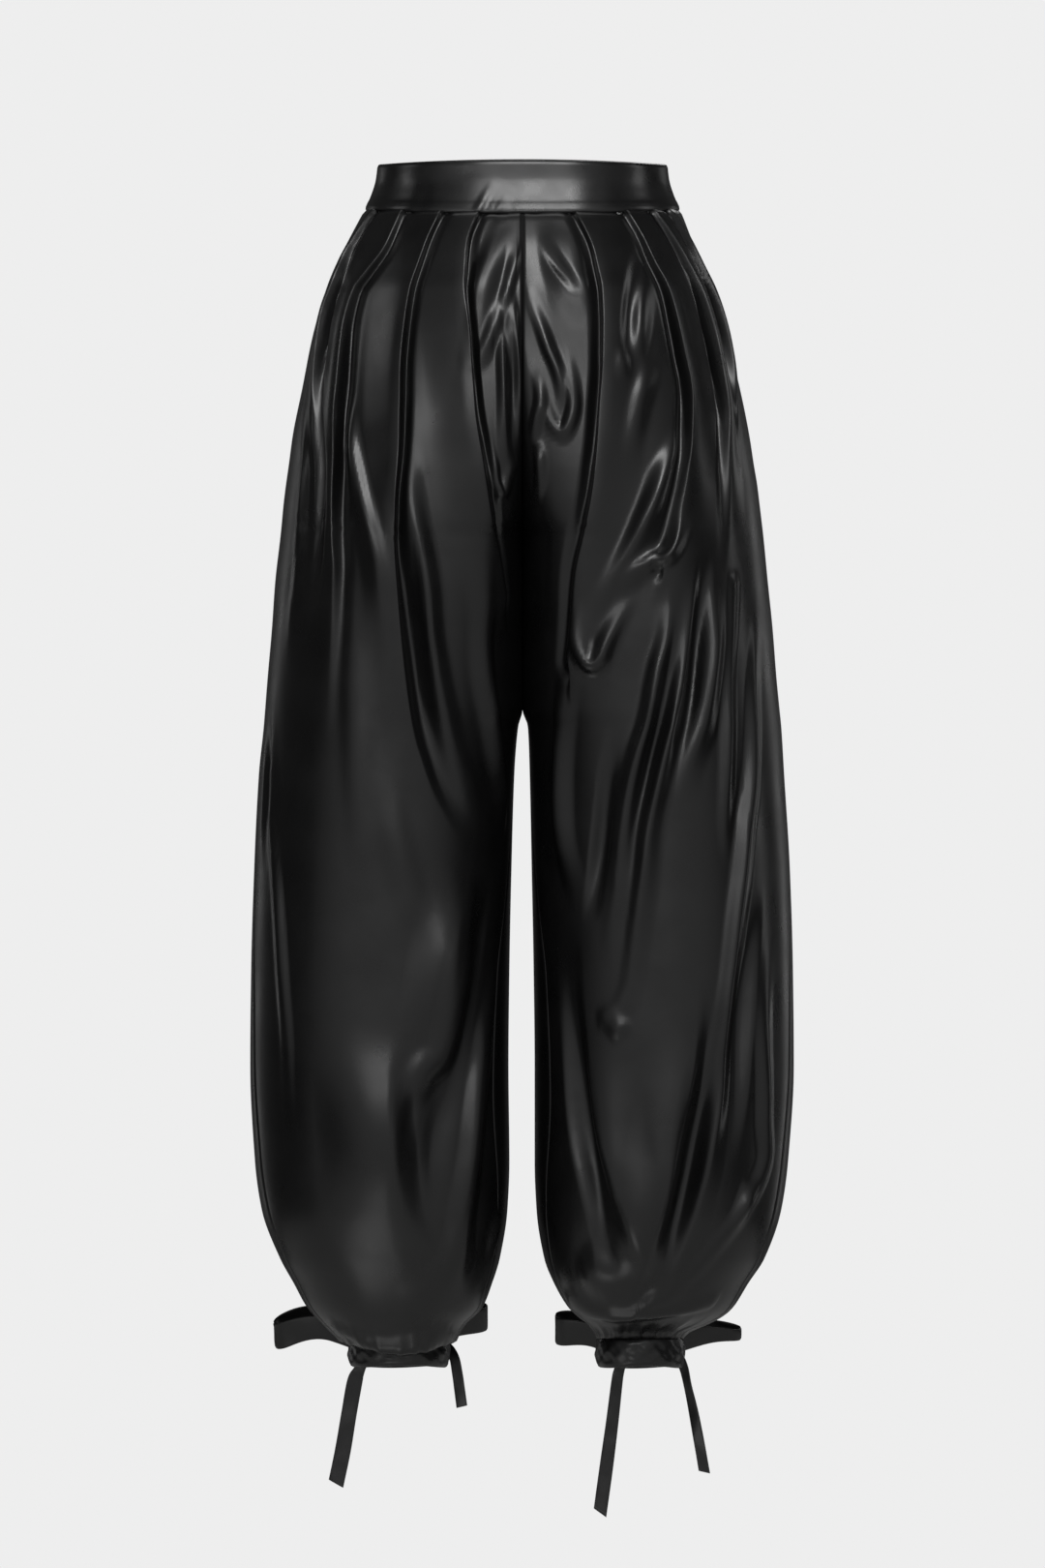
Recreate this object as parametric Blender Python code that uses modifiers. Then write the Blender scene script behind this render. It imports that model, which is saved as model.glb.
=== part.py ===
"""Faux leather trousers: pleated high waist, balloon legs, tied ankle bands.

The garment is hollow and keeps the shape that it has when worn. It is built
as a maker cuts it: a waistband, two fronts, two backs, an ankle band on each
leg, and a bow (a knot, two loops and two tails) behind each ankle.

Frame: metres, +Z up, the front of the garment faces -Y. The origin is the
centre of the waist, level with the top of the waistband. "Left" is the -X leg,
the left one as seen from the front.

All tables are in millimetres and hold places as they are seen from the front:
x out from the centre line, depth below the top of the waistband. place() takes
them to their true position, for a viewer at VIEW_DISTANCE and EYE_DEPTH.
"""
import math
from collections import namedtuple

import bmesh
import bpy
import numpy as np

MM = 0.001
COLLECTION = "faux_leather_trousers"

# ---- driving dimensions, in millimetres -------------------------------------
VIEW_DISTANCE = 6000.0      # from where the tables are read
EYE_DEPTH = 535.0
PANEL_WALL = 1.5            # coated cloth with its knit backing
BAND_WALL = 2.0             # the same cloth, doubled, as a band
RIBBON_WALL = 1.2
SEAM_GAP = 0.3

# ---- the body of the garment ------------------------------------------------
# run: length measured down the panel; outer and inner: the leg's two outlines;
# apex: x of the most forward line; front, back: distance from the mid plane;
# front_seam, back_seam: y of the centre seams, which meet at the crotch;
# drop: how far the front of a row hangs below its sides.
Row = namedtuple("Row", "run depth outer inner apex front front_seam back_seam back drop")

CLEFT = SEAM_GAP / 2
LEFT_OUTLINE = {42.4: 135.4, 70: 150, 94: 162, 112: 168.9, 153: 180.5, 195: 188.8, 236: 197.1,
                262: 200.6, 278: 202.9, 295: 205, 310: 206.4, 322: 207.6, 361: 212.1, 402: 215,
                444: 218.7, 471: 220.8, 486: 222, 527: 226.2, 610: 230.3, 693: 232.8,
                776: 233.6, 859: 229.5, 900: 223.7, 942: 207.9, 963: 196.3, 984: 184.7}
RIGHT_OUTLINE = {42.4: 135.4, 70: 146, 94: 155.6, 112: 163.1, 153: 175.5, 195: 186.3, 236: 194.6,
                 262: 198.6, 278: 201.3, 295: 203.4, 310: 205.2, 322: 206.6, 361: 210.4, 402: 214.6,
                 444: 217.9, 471: 220.5, 486: 222, 527: 224.5, 610: 229.5, 693: 232,
                 776: 232.8, 859: 227.8, 900: 222, 942: 207.5, 963: 193.8, 984: 180.5}
LEFT_INNER = {486: 3.7, 527: 7, 610: 9.5, 693: 11.2, 776: 12, 859: 11.2, 900: 12.9,
              942: 19.5, 963: 26, 984: 34.4}
RIGHT_INNER = {486: 4.6, 527: 6.2, 610: 7.9, 693: 9.5, 776: 10.4, 859: 10.4, 900: 12,
               942: 18.7, 963: 27, 984: 39.4}

Depths = namedtuple("Depths", "depth apex front front_seam back_seam back")
BODY_DEPTHS = [
    Depths(42.4, 25, 100, 100, 100, 100),
    Depths(70, 32, 112, 112, 109, 109),
    Depths(94, 38, 119, 118, 117, 117),
    Depths(112, 42, 124, 122, 122, 122),
    Depths(153, 52, 130, 127, 129, 130),
    Depths(195, 62, 134, 127, 131, 135),
    Depths(236, 72, 135, 118, 128, 138),
    Depths(262, 80, 135, 103, 118, 138),
    Depths(278, 86, 134, 88, 104, 138),
    Depths(295, 92, 134, 64, 84, 137),
    Depths(310, 97, 133, 34, 50, 136),
    Depths(322, 101, 132, 0, 0, 135),
    Depths(361, 107, 131, 0, 0, 133),
    Depths(402, 111, 129, 0, 0, 131),
    Depths(444, 114, 127, 0, 0, 129),
    Depths(471, 115, 126, 0, 0, 128),
    Depths(486, 116, 126, 0, 0, 127),
    Depths(527, 118, 125, 0, 0, 126),
    Depths(610, 120, 122, 0, 0, 124),
    Depths(693, 122, 120, 0, 0, 122),
    Depths(776, 122, 118, 0, 0, 120),
    Depths(859, 120, 114, 0, 0, 116),
    Depths(900, 118, 109, 0, 0, 111),
    Depths(942, 114, 99, 0, 0, 101),
    Depths(963, 111, 91, 0, 0, 93),
    Depths(984, 108, 80, 0, 0, 82),
]

# The gathered hem. On the left leg the cloth rolls over the ankle band; on the
# right leg it stops above it and its gathers show.
Hem = namedtuple("Hem", "run depth outer inner apex front back drop")
LEFT_HEM = [
    Hem(1002, 999, 171, 49, 108, 68, 68, 2),
    Hem(1015, 1009, 160, 55, 107, 58.5, 57, 6),
    Hem(1023, 1013, 155, 58, 106, 54, 52.5, 9),
    Hem(1029, 1010.5, 151.6, 60.8, 106, 50.6, 49.8, 7),
    Hem(1036, 1011.6, 148, 64, 106, 46.4, 46.4, 0),
]
RIGHT_HEM = [
    Hem(997, 991.5, 172, 47, 106, 72, 72, 0),
    Hem(1009, 997.5, 160, 55, 104, 62, 62, 0),
    Hem(1021, 1002, 148, 60, 102, 51, 51, 0),
    Hem(1028, 1006, 141, 62.4, 101, 44.5, 45, 0),
    Hem(1034, 1010.6, 138, 63.6, 101, 42, 42, 0),
]
FRONT_CURVE = 2.2           # how square the sections' corners are
INNER_CURVE = 2.3
QUARTER_STEPS = 70

# ---- the seams' places ------------------------------------------------------
# Both seams swing forward on the legs, by these arc lengths.
SIDE_SEAM_SHIFT = {42.4: 0, 400: 8, 600: 20, 760: 36, 900: 42, 1040: 14}
INSEAM_SHIFT = {322: 0, 480: 0, 560: 20, 640: 44, 700: 60, 800: 66, 900: 50, 1040: 14}
WAIST_SAG = 2.3             # the waist seam hangs lower in the middle
WAIST_SAG_END = 110.0

# ---- folds ------------------------------------------------------------------
# A fold is a bump along a line on the panel. Its steep side is step wide, its
# gentle side spread wide. steep: +1 faces the centre, -1 the side, 0 neither.
# Its height goes from start to peak, at peak_at of its length, and on to end.
Fold = namedtuple("Fold", "name steep step spread start peak peak_at end line")

FRONT_LEFT_FOLDS = [
    Fold("pleat_1", 1, 4.0, 30, 2.0, 9.0, 0.4, 1.5,
         [(41, 46), (47, 62), (51, 91), (52, 112), (49, 145),
          (44, 212), (39, 245), (34, 278), (29, 315), (24, 340)]),
    Fold("pleat_2", 1, 4.0, 32, 2.0, 9.5, 0.3, 1.5,
         [(74, 46), (80, 62), (89, 87), (97, 112), (105, 178), (107, 245),
          (112, 328), (106, 403), (95, 494), (78, 552), (67, 577)]),
    Fold("pleat_3", 1, 4.0, 28, 2.0, 9.0, 0.4, 1.0,
         [(107, 46), (112, 62), (120, 79), (135, 100), (143, 112),
          (150, 137), (155, 187), (158, 237), (160, 278), (161, 361)]),
    Fold("pleat_4", 1, 4.0, 24, 2.0, 8.0, 0.4, 1.0,
         [(130, 46), (140, 62), (150, 81), (158, 104), (166, 129),
          (172, 162), (176, 195), (178, 237), (181, 300)]),
    Fold("ridge_2", 0, 11, 14, 0.5, 7.0, 0.4, 0.5,
         [(106, 228), (96, 286), (83, 361), (75, 436), (59, 502), (34, 569), (21, 589)]),
    Fold("ridge_3", 0, 10, 14, 0.5, 5.5, 0.5, 0.5,
         [(153, 187), (146, 245), (129, 320), (121, 394), (119, 460)]),
    Fold("knee_hollow", 0, 24, 30, 0.0, -9.0, 0.6, -2.0,
         [(42, 640), (50, 700), (58, 770), (76, 830), (84, 890), (80, 935)]),
    Fold("knee_ridge", 0, 12, 14, 0.0, 6.0, 0.5, 1.0,
         [(17, 676), (31, 743), (38, 793), (48, 876), (54, 925)]),
    Fold("knee_kink", 0, 12, 18, 0.0, 5.5, 0.6, 0.0,
         [(67, 768), (83, 784), (96, 801), (117, 811)]),
]
FRONT_RIGHT_FOLDS = [
    Fold("pleat_1", 1, 4.0, 30, 2.0, 9.5, 0.45, 1.5,
         [(50, 46), (60, 71), (66, 95), (71, 154), (69, 212), (66, 253), (62, 286), (49, 353), (46, 394)]),
    Fold("pleat_2", 1, 4.0, 30, 2.0, 9.0, 0.45, 1.5,
         [(93, 46), (103, 66), (112, 87), (124, 112), (137, 170),
          (143, 220), (142, 253), (135, 303), (131, 328)]),
    Fold("pleat_3", 1, 4.0, 26, 2.0, 9.0, 0.4, 1.0,
         [(116, 46), (128, 66), (139, 87), (150, 112), (166, 178), (172, 212), (174, 253), (176, 361)]),
    Fold("pleat_4", 1, 4.0, 22, 2.0, 7.0, 0.5, 1.0,
         [(129, 47), (142, 71), (156, 104), (167, 137), (175, 170), (182, 212), (187, 265)]),
    Fold("fork_2", 0, 10, 14, 1.0, 7.5, 0.5, 1.0,
         [(141, 228), (132, 245), (107, 303), (91, 336), (74, 369), (62, 410), (60, 433)]),
    Fold("ridge_a", 0, 10, 13, 1.0, 7.0, 0.5, 0.5,
         [(127, 361), (116, 436), (99, 510), (85, 585), (76, 660), (76, 701)]),
    Fold("ridge_b", 0, 10, 14, 1.0, 8.0, 0.7, 1.5,
         [(149, 361), (134, 444), (116, 527), (104, 610), (95, 685), (83, 726), (72, 735)]),
    Fold("ridge_c", 0, 10, 14, 0.5, 5.0, 0.5, 0.0,
         [(168, 361), (156, 477), (132, 569)]),
    Fold("ridge_e", 0, 9, 16, 0.5, 7.0, 0.6, 1.5,
         [(197, 444), (190, 569), (182, 652), (172, 743), (164, 818), (151, 892), (124, 959), (103, 982)]),
    Fold("calf_hollow_a", 0, 16, 20, 0.0, -8.5, 0.6, -1.0,
         [(49, 720), (60, 800), (74, 860), (88, 920), (99, 965)]),
    Fold("calf_hollow_b", 0, 16, 18, 0.0, -8.5, 0.6, -1.0,
         [(152, 760), (145, 830), (130, 890), (112, 950), (104, 972)]),
]
BACK_FOLDS = [
    Fold("pleat_1", 1, 4.0, 30, 2.0, 8.5, 0.4, 1.0,
         [(38, 46), (45, 66), (50, 95), (54, 145), (56, 210), (54, 280), (50, 345)]),
    Fold("pleat_2", 1, 4.0, 30, 2.0, 9.0, 0.35, 1.0,
         [(72, 46), (81, 66), (90, 95), (99, 145), (106, 212), (109, 300), (106, 400), (98, 470)]),
    Fold("pleat_3", 1, 4.0, 28, 2.0, 8.5, 0.4, 1.0,
         [(104, 46), (113, 66), (125, 95), (138, 145), (148, 212), (154, 300), (157, 390)]),
    Fold("pleat_4", 1, 4.0, 24, 2.0, 7.5, 0.45, 1.0,
         [(128, 46), (140, 66), (153, 95), (165, 145), (174, 200), (180, 270)]),
    Fold("seat_ridge", 0, 12, 16, 0.0, 6.5, 0.5, 0.5,
         [(30, 330), (46, 390), (60, 460), (70, 540), (76, 620)]),
    Fold("thigh_ridge", 0, 12, 18, 0.0, 7.0, 0.5, 0.5,
         [(150, 390), (142, 480), (128, 570), (116, 660), (110, 740)]),
    Fold("knee_hollow", 0, 20, 26, 0.0, -8.0, 0.5, -1.0,
         [(92, 640), (84, 720), (90, 800), (98, 880), (103, 950)]),
    Fold("calf_ridge", 0, 12, 18, 0.0, 6.0, 0.5, 1.0,
         [(170, 640), (164, 740), (152, 830), (134, 910), (116, 965)]),
]
FOLDS = {("left", "front"): FRONT_LEFT_FOLDS, ("right", "front"): FRONT_RIGHT_FOLDS,
         ("left", "back"): BACK_FOLDS, ("right", "back"): BACK_FOLDS}
PLEAT_LINES = ["pleat_4", "pleat_3", "pleat_2", "pleat_1"]      # from the side inwards
GROOVE = 0.3                # the hollow under a pleat's edge, as a share of its height
SEAM_FADE = 7.0             # folds die out this far from a seam
GATHERS = 8                 # on each panel's hem
GATHER_HEIGHT = 1.6
GATHER_START = 975.0        # where the gathers begin, along the panel
GATHER_FULL = 1012.0
HEM_FLAT = 1030.0           # where they end, at the band

# ---- how finely the panels are divided --------------------------------------
RUNS = [42.4, 52, 66, 84, 104, 128, 156, 188, 220, 250, 272, 292, 308, 322, 352, 394,
        438, 480, 526, 574, 624, 676, 728, 778, 824, 864, 898, 926, 950, 970, 986]
INTERVAL_COLUMNS = [1, 1, 2, 2, 7]      # between the foot of a pleat and the next crest
FOOT = 4.0                  # from a pleat's crest to its foot, ...
FOOT_SHARE = 0.3            # ... or this share of the way to the next crest
COLUMN_GAP = 0.02           # columns keep this share of the panel's width apart
EVEN_SPACES = 6.4           # at the hem the columns are spaced as for so many pleats
EVEN_FROM_END = 20.0        # they are even from here to the hem
LINE_STEPS = 4              # points on a fold's curve between two points of its table
FOOT_GROOVE = 1.4           # the groove's middle, and
FOOT_GROOVE_WIDTH = 1.2     # its half width, in widths of the steep side
NORMAL_STEP = 1.0           # arc on each side that a point's normal is taken over

# ---- waistband --------------------------------------------------------------
# middle, side: the row's depth at the centre and at the side
BandRow = namedtuple("BandRow", "middle side half_width half_depth apex")
WAISTBAND_ROWS = [
    BandRow(0.0, 4.2, 124.6, 90, 24),
    BandRow(15.0, 17.0, 126.2, 91.5, 24),
    BandRow(29.0, 29.0, 129.8, 95, 25),
    BandRow(44.2, 41.9, 135.4, 100, 25),
]
WAISTBAND_COLUMNS = 10      # along each quarter

# ---- ankle bands and bows ---------------------------------------------------
Ankle = namedtuple("Ankle", "centre half_width half_depth top bottom")
ANKLES = {"left": Ankle(-106, 43.0, 46.0, 1012.0, 1034.0),
          "right": Ankle(101, 37.8, 42.0, 1011.0, 1034.5)}
ANKLE_COLUMNS = 28

# A loop runs from the knot to its tip and back. Its plies part by gape, its
# ribbon is width wide, and arch lifts the middle of its length.
Loop = namedtuple("Loop", "root_x root_y root_depth tip_x tip_y tip_depth arch gape width tip_width")
LOOPS = {
    "left": {"outer": Loop(-127.5, 57.0, 1024, -212, 90, 1007, 18, 20, 23, 24),
             "inner": Loop(-103.5, 57.0, 1024, -30.5, 100, 992, 8, 15, 21, 24)},
    "right": {"inner": Loop(91.5, 53.0, 1025, 28.5, 84, 1002, 9, 18, 22, 27),
              "outer": Loop(112.5, 53.0, 1025, 187, 92, 1006, 9, 13, 20, 11)},
}
LoopShape = namedtuple("LoopShape", "reach part")
LOOP_SHAPE = [LoopShape(0.0, 0.25), LoopShape(0.12, 0.38), LoopShape(0.3, 0.72), LoopShape(0.52, 0.96),
              LoopShape(0.74, 1.0), LoopShape(0.9, 0.86), LoopShape(0.98, 0.5), LoopShape(1.0, 0.0)]
LOOP_LEAN = 27.0            # degrees that a loop's upper edge leans to the front
LOOP_ROOT_WIDTH = 13.0
LOOP_WIDEST = 0.4           # reach at which its ribbon has its full width
LOOP_SWEEP = 0.7            # under 1, a loop swings to the back first, then runs out
LOOP_STEPS = 1              # ribbon sections between two points of a loop's line
# A tail's ribbon faces the front; turn, in degrees, twists it about its line.
Ribbon = namedtuple("Ribbon", "x y depth turn width")
TAILS = {
    "left": {
        "outer": [
            Ribbon(-126, 49.5, 1028, 0, 6.5), Ribbon(-132, 49.5, 1029, 0, 7),
            Ribbon(-137, 49.5, 1032.5, 0, 8.5), Ribbon(-140.5, 50, 1038.5, 0, 10.5),
            Ribbon(-144, 50, 1048, 4, 13.5), Ribbon(-149, 51, 1076, 4, 13.5),
            Ribbon(-154, 52, 1106, 8, 14), Ribbon(-160, 52, 1135, 10, 14)],
        "inner": [
            Ribbon(-101, 50, 1031, 80, 8), Ribbon(-90, 50, 1026, 76, 9), Ribbon(-78, 48, 1020, 66, 10),
            Ribbon(-66, 44, 1018, 50, 10), Ribbon(-59, 40, 1026, 34, 10), Ribbon(-56, 39, 1040, 24, 10),
            Ribbon(-54, 40, 1054, 20, 10), Ribbon(-52, 41, 1069, 18, 10)],
    },
    "right": {
        "inner": [
            Ribbon(92.3, 49, 1028, 0, 7), Ribbon(88.3, 49, 1029, 0, 7.5), Ribbon(84.8, 49, 1033, 0, 8.5),
            Ribbon(82.6, 49, 1039, 2, 9.5), Ribbon(81, 50, 1048, 4, 10), Ribbon(77, 51, 1082, 8, 11),
            Ribbon(72, 50, 1120, 10, 12), Ribbon(66.5, 49, 1160, 12, 12)],
        "outer": [
            Ribbon(113, 49, 1032, 10, 8), Ribbon(124, 48, 1028, 20, 9), Ribbon(133, 46, 1027, 34, 10),
            Ribbon(138, 45, 1035, 44, 10.5), Ribbon(142, 45, 1052, 52, 10.5), Ribbon(147, 45, 1075, 36, 10),
            Ribbon(152, 45, 1102, 16, 9.5), Ribbon(156, 45, 1125, 8, 9.5)],
    },
}
TAIL_STEPS = 3
Knot = namedtuple("Knot", "x y depth half_x half_y half_z")
KNOTS = {"left": Knot(-115.5, 56.6, 1025, 8.8, 6.6, 9.5), "right": Knot(102, 52.6, 1026, 8.0, 6.4, 9.5)}
KNOT_SEGMENTS = 12
KNOT_RINGS = 8

# ---- finishes ---------------------------------------------------------------
BLACK = (0.014, 0.014, 0.015, 1.0)
LEATHER_ROUGHNESS = 0.36


def place(x, y, depth):
    """Take a place as seen from the front to its true position, in metres."""
    scale = 1.0 + y / VIEW_DISTANCE
    height = -(EYE_DEPTH + (depth - EYE_DEPTH) * scale)
    return np.stack([x * scale, y + 0.0 * x, height + 0.0 * x], axis=-1) * MM


def smooth(table_x, table_y, at):
    """Monotone cubic curve through a table (no overshoot between its points)."""
    xs = np.asarray(table_x, float)
    ys = np.asarray(table_y, float)
    step = np.diff(xs)
    slope = np.diff(ys) / step
    same = slope[:-1] * slope[1:] > 0
    mean = np.where(same, 2 * slope[:-1] * slope[1:] / np.where(same, slope[:-1] + slope[1:], 1.0), 0.0)
    tangent = np.concatenate([[slope[0]], mean, [slope[-1]]])
    at = np.clip(np.asarray(at, float), xs[0], xs[-1])
    i = np.clip(np.searchsorted(xs, at, side="right") - 1, 0, len(xs) - 2)
    t = (at - xs[i]) / step[i]
    return ((1 + 2 * t) * (1 - t) ** 2 * ys[i] + t * (1 - t) ** 2 * step[i] * tangent[i]
            + t * t * (3 - 2 * t) * ys[i + 1] + t * t * (t - 1) * step[i] * tangent[i + 1])


def ease(t):
    """0 to 1 with level ends."""
    t = np.clip(t, 0.0, 1.0)
    return t * t * (3 - 2 * t)


def leg_rows(side):
    """The whole table of one leg, from the waist seam to the ankle band."""
    outline = LEFT_OUTLINE if side == "left" else RIGHT_OUTLINE
    inner = LEFT_INNER if side == "left" else RIGHT_INNER
    rows = [Row(d.depth, d.depth, outline[d.depth], inner.get(d.depth, CLEFT), d.apex, d.front,
                d.front_seam, d.back_seam, d.back, 0.0) for d in BODY_DEPTHS]
    hem = LEFT_HEM if side == "left" else RIGHT_HEM
    rows += [Row(h.run, h.depth, h.outer, h.inner, h.apex, h.front, 0.0, 0.0, h.back, h.drop) for h in hem]
    return rows


class Section:
    """The curve of one half of a row, from the side seam to the inner seam."""

    def __init__(self, row, panel):
        t = np.linspace(0.0, math.pi / 2, QUARTER_STEPS)
        reach = row.front if panel == "front" else row.back
        seam = min(row.front_seam if panel == "front" else row.back_seam, reach)
        outer_x = row.apex + (row.outer - row.apex) * np.cos(t) ** (2 / FRONT_CURVE)
        outer_y = reach * np.sin(t) ** (2 / FRONT_CURVE)
        inner_x = row.inner + (row.apex - row.inner) * (1 - np.sin(t) ** (2 / INNER_CURVE))
        inner_y = seam + (reach - seam) * np.cos(t) ** (2 / INNER_CURVE)
        self.x = np.concatenate([outer_x, inner_x[1:]])
        forward = -1.0 if panel == "front" else 1.0
        self.y = forward * np.concatenate([outer_y, inner_y[1:]])
        self.arc = np.concatenate([[0.0], np.cumsum(np.hypot(np.diff(self.x), np.diff(self.y)))])
        self.length = self.arc[-1]


class Leg:
    """The smooth form of one leg and its half of the seat, without folds."""

    def __init__(self, side, runs):
        table = leg_rows(side)
        columns = {name: smooth([r.run for r in table], [getattr(r, name) for r in table], runs)
                   for name in Row._fields}
        self.side = side
        self.runs = np.asarray(runs, float)
        self.rows = [Row(*[columns[name][i] for name in Row._fields]) for i in range(len(runs))]
        self.front = [Section(row, "front") for row in self.rows]
        self.back = [Section(row, "back") for row in self.rows]
        shift = SIDE_SEAM_SHIFT
        self.side_shift = smooth(list(shift), list(shift.values()), self.runs)
        shift = INSEAM_SHIFT
        self.inner_shift = smooth(list(shift), list(shift.values()), self.runs)

    def ends(self, panel):
        """Arc lengths, from the side, where each row of a panel starts and ends."""
        half = SEAM_GAP / 2
        if panel == "front":
            length = np.array([s.length for s in self.front])
            return self.side_shift + half, length - self.inner_shift - half
        length = np.array([s.length for s in self.back])
        return -self.side_shift + half, length + self.inner_shift - half

    def curve(self, i, panel):
        """x, y and arc of row i; a back row runs on into the front at both ends."""
        front, back = self.front[i], self.back[i]
        if panel == "front":
            return front.x, front.y, front.arc
        x = np.concatenate([front.x[::-1], back.x[1:], front.x[::-1][1:]])
        y = np.concatenate([front.y[::-1], back.y[1:], front.y[::-1][1:]])
        past = back.length + (front.length - front.arc[::-1])
        return x, y, np.concatenate([-front.arc[::-1], back.arc[1:], past[1:]])

    def points(self, panel, arcs):
        """Places on the smooth form for an array of arcs, one row for each run."""
        mirror = -1.0 if self.side == "left" else 1.0
        out = np.zeros(arcs.shape + (3,))
        for i, row in enumerate(self.rows):
            cx, cy, ca = self.curve(i, panel)
            x = np.interp(arcs[i], ca, cx)
            y = np.interp(arcs[i], ca, cy)
            toward_front = np.clip(-y / row.front, 0.0, 1.0) ** 2
            sag = WAIST_SAG * (1 - ease((row.run - RUNS[0]) / (WAIST_SAG_END - RUNS[0])))
            depth = row.depth + row.drop * toward_front + sag * (1 - (x / row.outer) ** 2)
            out[i] = place(mirror * x, y, depth)
        return out

    def arc_of(self, panel, x, run):
        """The arc at which a row, at this run, shows the given x."""
        i = np.interp(run, self.runs, np.arange(len(self.runs)))
        low, high = int(math.floor(i)), int(math.ceil(i))
        found = []
        for k in (low, high):
            section = self.front[k] if panel == "front" else self.back[k]
            found.append(np.interp(x, section.x[::-1], section.arc[::-1]))
        return found[0] + (found[1] - found[0]) * (i - low)


def curve_through(points, steps):
    """Catmull-Rom curve through a list of rows, with steps sections a span."""
    p = np.asarray(points, float)
    p = np.vstack([2 * p[0] - p[1], p, 2 * p[-1] - p[-2]])
    t = np.linspace(0, 1, steps, endpoint=False)[:, None]
    spans = []
    for a, b, c, d in zip(p[:-3], p[1:-2], p[2:-1], p[3:]):
        spans.append(0.5 * (2 * b + (c - a) * t + (2 * a - 5 * b + 4 * c - d) * t ** 2
                            + (3 * b - a - 3 * c + d) * t ** 3))
    return np.vstack(spans + [p[-2:-1]])


def fold_height(fold, leg, panel, arcs, runs):
    """How far a fold lifts each point of a grid, in millimetres."""
    line = curve_through([(leg.arc_of(panel, x, run), run) for x, run in fold.line], LINE_STEPS)
    length = np.concatenate([[0.0], np.cumsum(np.hypot(*np.diff(line, axis=0).T))])
    share = length / length[-1]
    lift = np.where(share < fold.peak_at,
                    fold.start + (fold.peak - fold.start) * ease(share / fold.peak_at),
                    fold.peak + (fold.end - fold.peak) * ease((share - fold.peak_at) / (1 - fold.peak_at)))
    best = np.full(arcs.shape, 1e9)
    signed = np.zeros(arcs.shape)
    height = np.zeros(arcs.shape)
    for k in range(len(line) - 1):
        ax, ay = line[k]
        dx, dy = line[k + 1] - line[k]
        t = np.clip(((arcs - ax) * dx + (runs - ay) * dy) / (dx * dx + dy * dy), 0.0, 1.0)
        off_x, off_y = arcs - ax - t * dx, runs - ay - t * dy
        distance = np.hypot(off_x, off_y)
        nearer = distance < best
        side = np.where(dy * off_x - dx * off_y > 0, 1.0, -1.0)    # +1 towards the centre
        best = np.where(nearer, distance, best)
        signed = np.where(nearer, side * distance, signed)
        height = np.where(nearer, lift[k] + (lift[k + 1] - lift[k]) * t, height)
    toward = signed * (fold.steep if fold.steep else 1)
    width = np.where(toward > 0, fold.step, fold.spread)
    bump = height * (1 - ease(best / width))
    if fold.steep:
        foot = (toward - FOOT_GROOVE * fold.step) / (FOOT_GROOVE_WIDTH * fold.step)
        bump -= GROOVE * height * (1 - ease(np.abs(foot)))
    return bump


def panel_arcs(leg, panel, folds, interval_columns):
    """Columns that follow the pleats: a crest, its foot, then even spacing."""
    start, end = leg.ends(panel)
    share = []
    by_name = {fold.name: fold for fold in folds}
    for k, name in enumerate(PLEAT_LINES):
        line = curve_through(by_name[name].line, LINE_STEPS)
        arc = np.array([leg.arc_of(panel, x, run) for x, run in line])
        run_at = line[:, 1]
        part = (arc - np.interp(run_at, leg.runs, start)) / np.interp(run_at, leg.runs, end - start)
        even = (k + 1) / EVEN_SPACES
        known = np.append(run_at, leg.runs[-1] - EVEN_FROM_END)
        share.append(np.interp(leg.runs, known, np.append(part, even)))
    order = COLUMN_GAP * np.arange(len(share))[:, None]
    share = np.maximum.accumulate(np.array(share) + order, axis=0) - order
    knots = [start] + [start + s * (end - start) for s in share] + [end]
    columns = []
    for k, count in enumerate(interval_columns):
        low, high = knots[k], knots[k + 1]
        columns.append(low)
        foot = low
        if k:
            foot = low + np.minimum(FOOT, FOOT_SHARE * (high - low))
            columns.append(foot)
        for n in range(1, count + 1):
            columns.append(foot + (high - foot) * n / (count + 1))
    return np.stack(columns + [knots[-1]], axis=1)


def gathers(arcs, start, end, runs):
    """Small even waves that gather the hem into the ankle band."""
    share = (arcs - start[:, None]) / (end - start)[:, None]
    grow = ease((runs - GATHER_START) / (GATHER_FULL - GATHER_START))
    grow = grow * (1 - ease((runs - GATHER_FULL) / (HEM_FLAT - GATHER_FULL)))
    return GATHER_HEIGHT * grow * -np.cos(2 * math.pi * GATHERS * share)


def panel_walls(side, panel):
    """The outer and the inner surface of one panel, as arrays of points in metres.

    The wall is PANEL_WALL thick, and more along a pleat, where the cloth lies in
    three layers.
    """
    hem = LEFT_HEM if side == "left" else RIGHT_HEM
    leg = Leg(side, RUNS + [h.run for h in hem])
    folds = FOLDS[side, panel]
    arcs = panel_arcs(leg, panel, folds, INTERVAL_COLUMNS)
    runs = np.repeat(leg.runs[:, None], arcs.shape[1], axis=1)
    start, end = leg.ends(panel)
    lift = sum(fold_height(fold, leg, panel, arcs, runs) for fold in folds)
    to_seam = np.minimum(arcs - start[:, None], end[:, None] - arcs)
    lift = lift * ease(to_seam / SEAM_FADE) + gathers(arcs, start, end, runs)
    base = leg.points(panel, arcs)
    across = leg.points(panel, arcs + NORMAL_STEP) - leg.points(panel, arcs - NORMAL_STEP)
    along = np.gradient(base, axis=0)
    normal = np.cross(across, along)
    if turned(side, panel):
        normal = -normal
    normal /= np.linalg.norm(normal, axis=-1, keepdims=True)
    beside = np.pad(lift, ((0, 0), (1, 1)), mode="edge")
    lowest = np.minimum(lift, np.minimum(beside[:, :-2], beside[:, 2:]))
    inside = (lift + lowest) / 2 - PANEL_WALL
    return base + normal * lift[..., None] * MM, base + normal * inside[..., None] * MM


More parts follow.
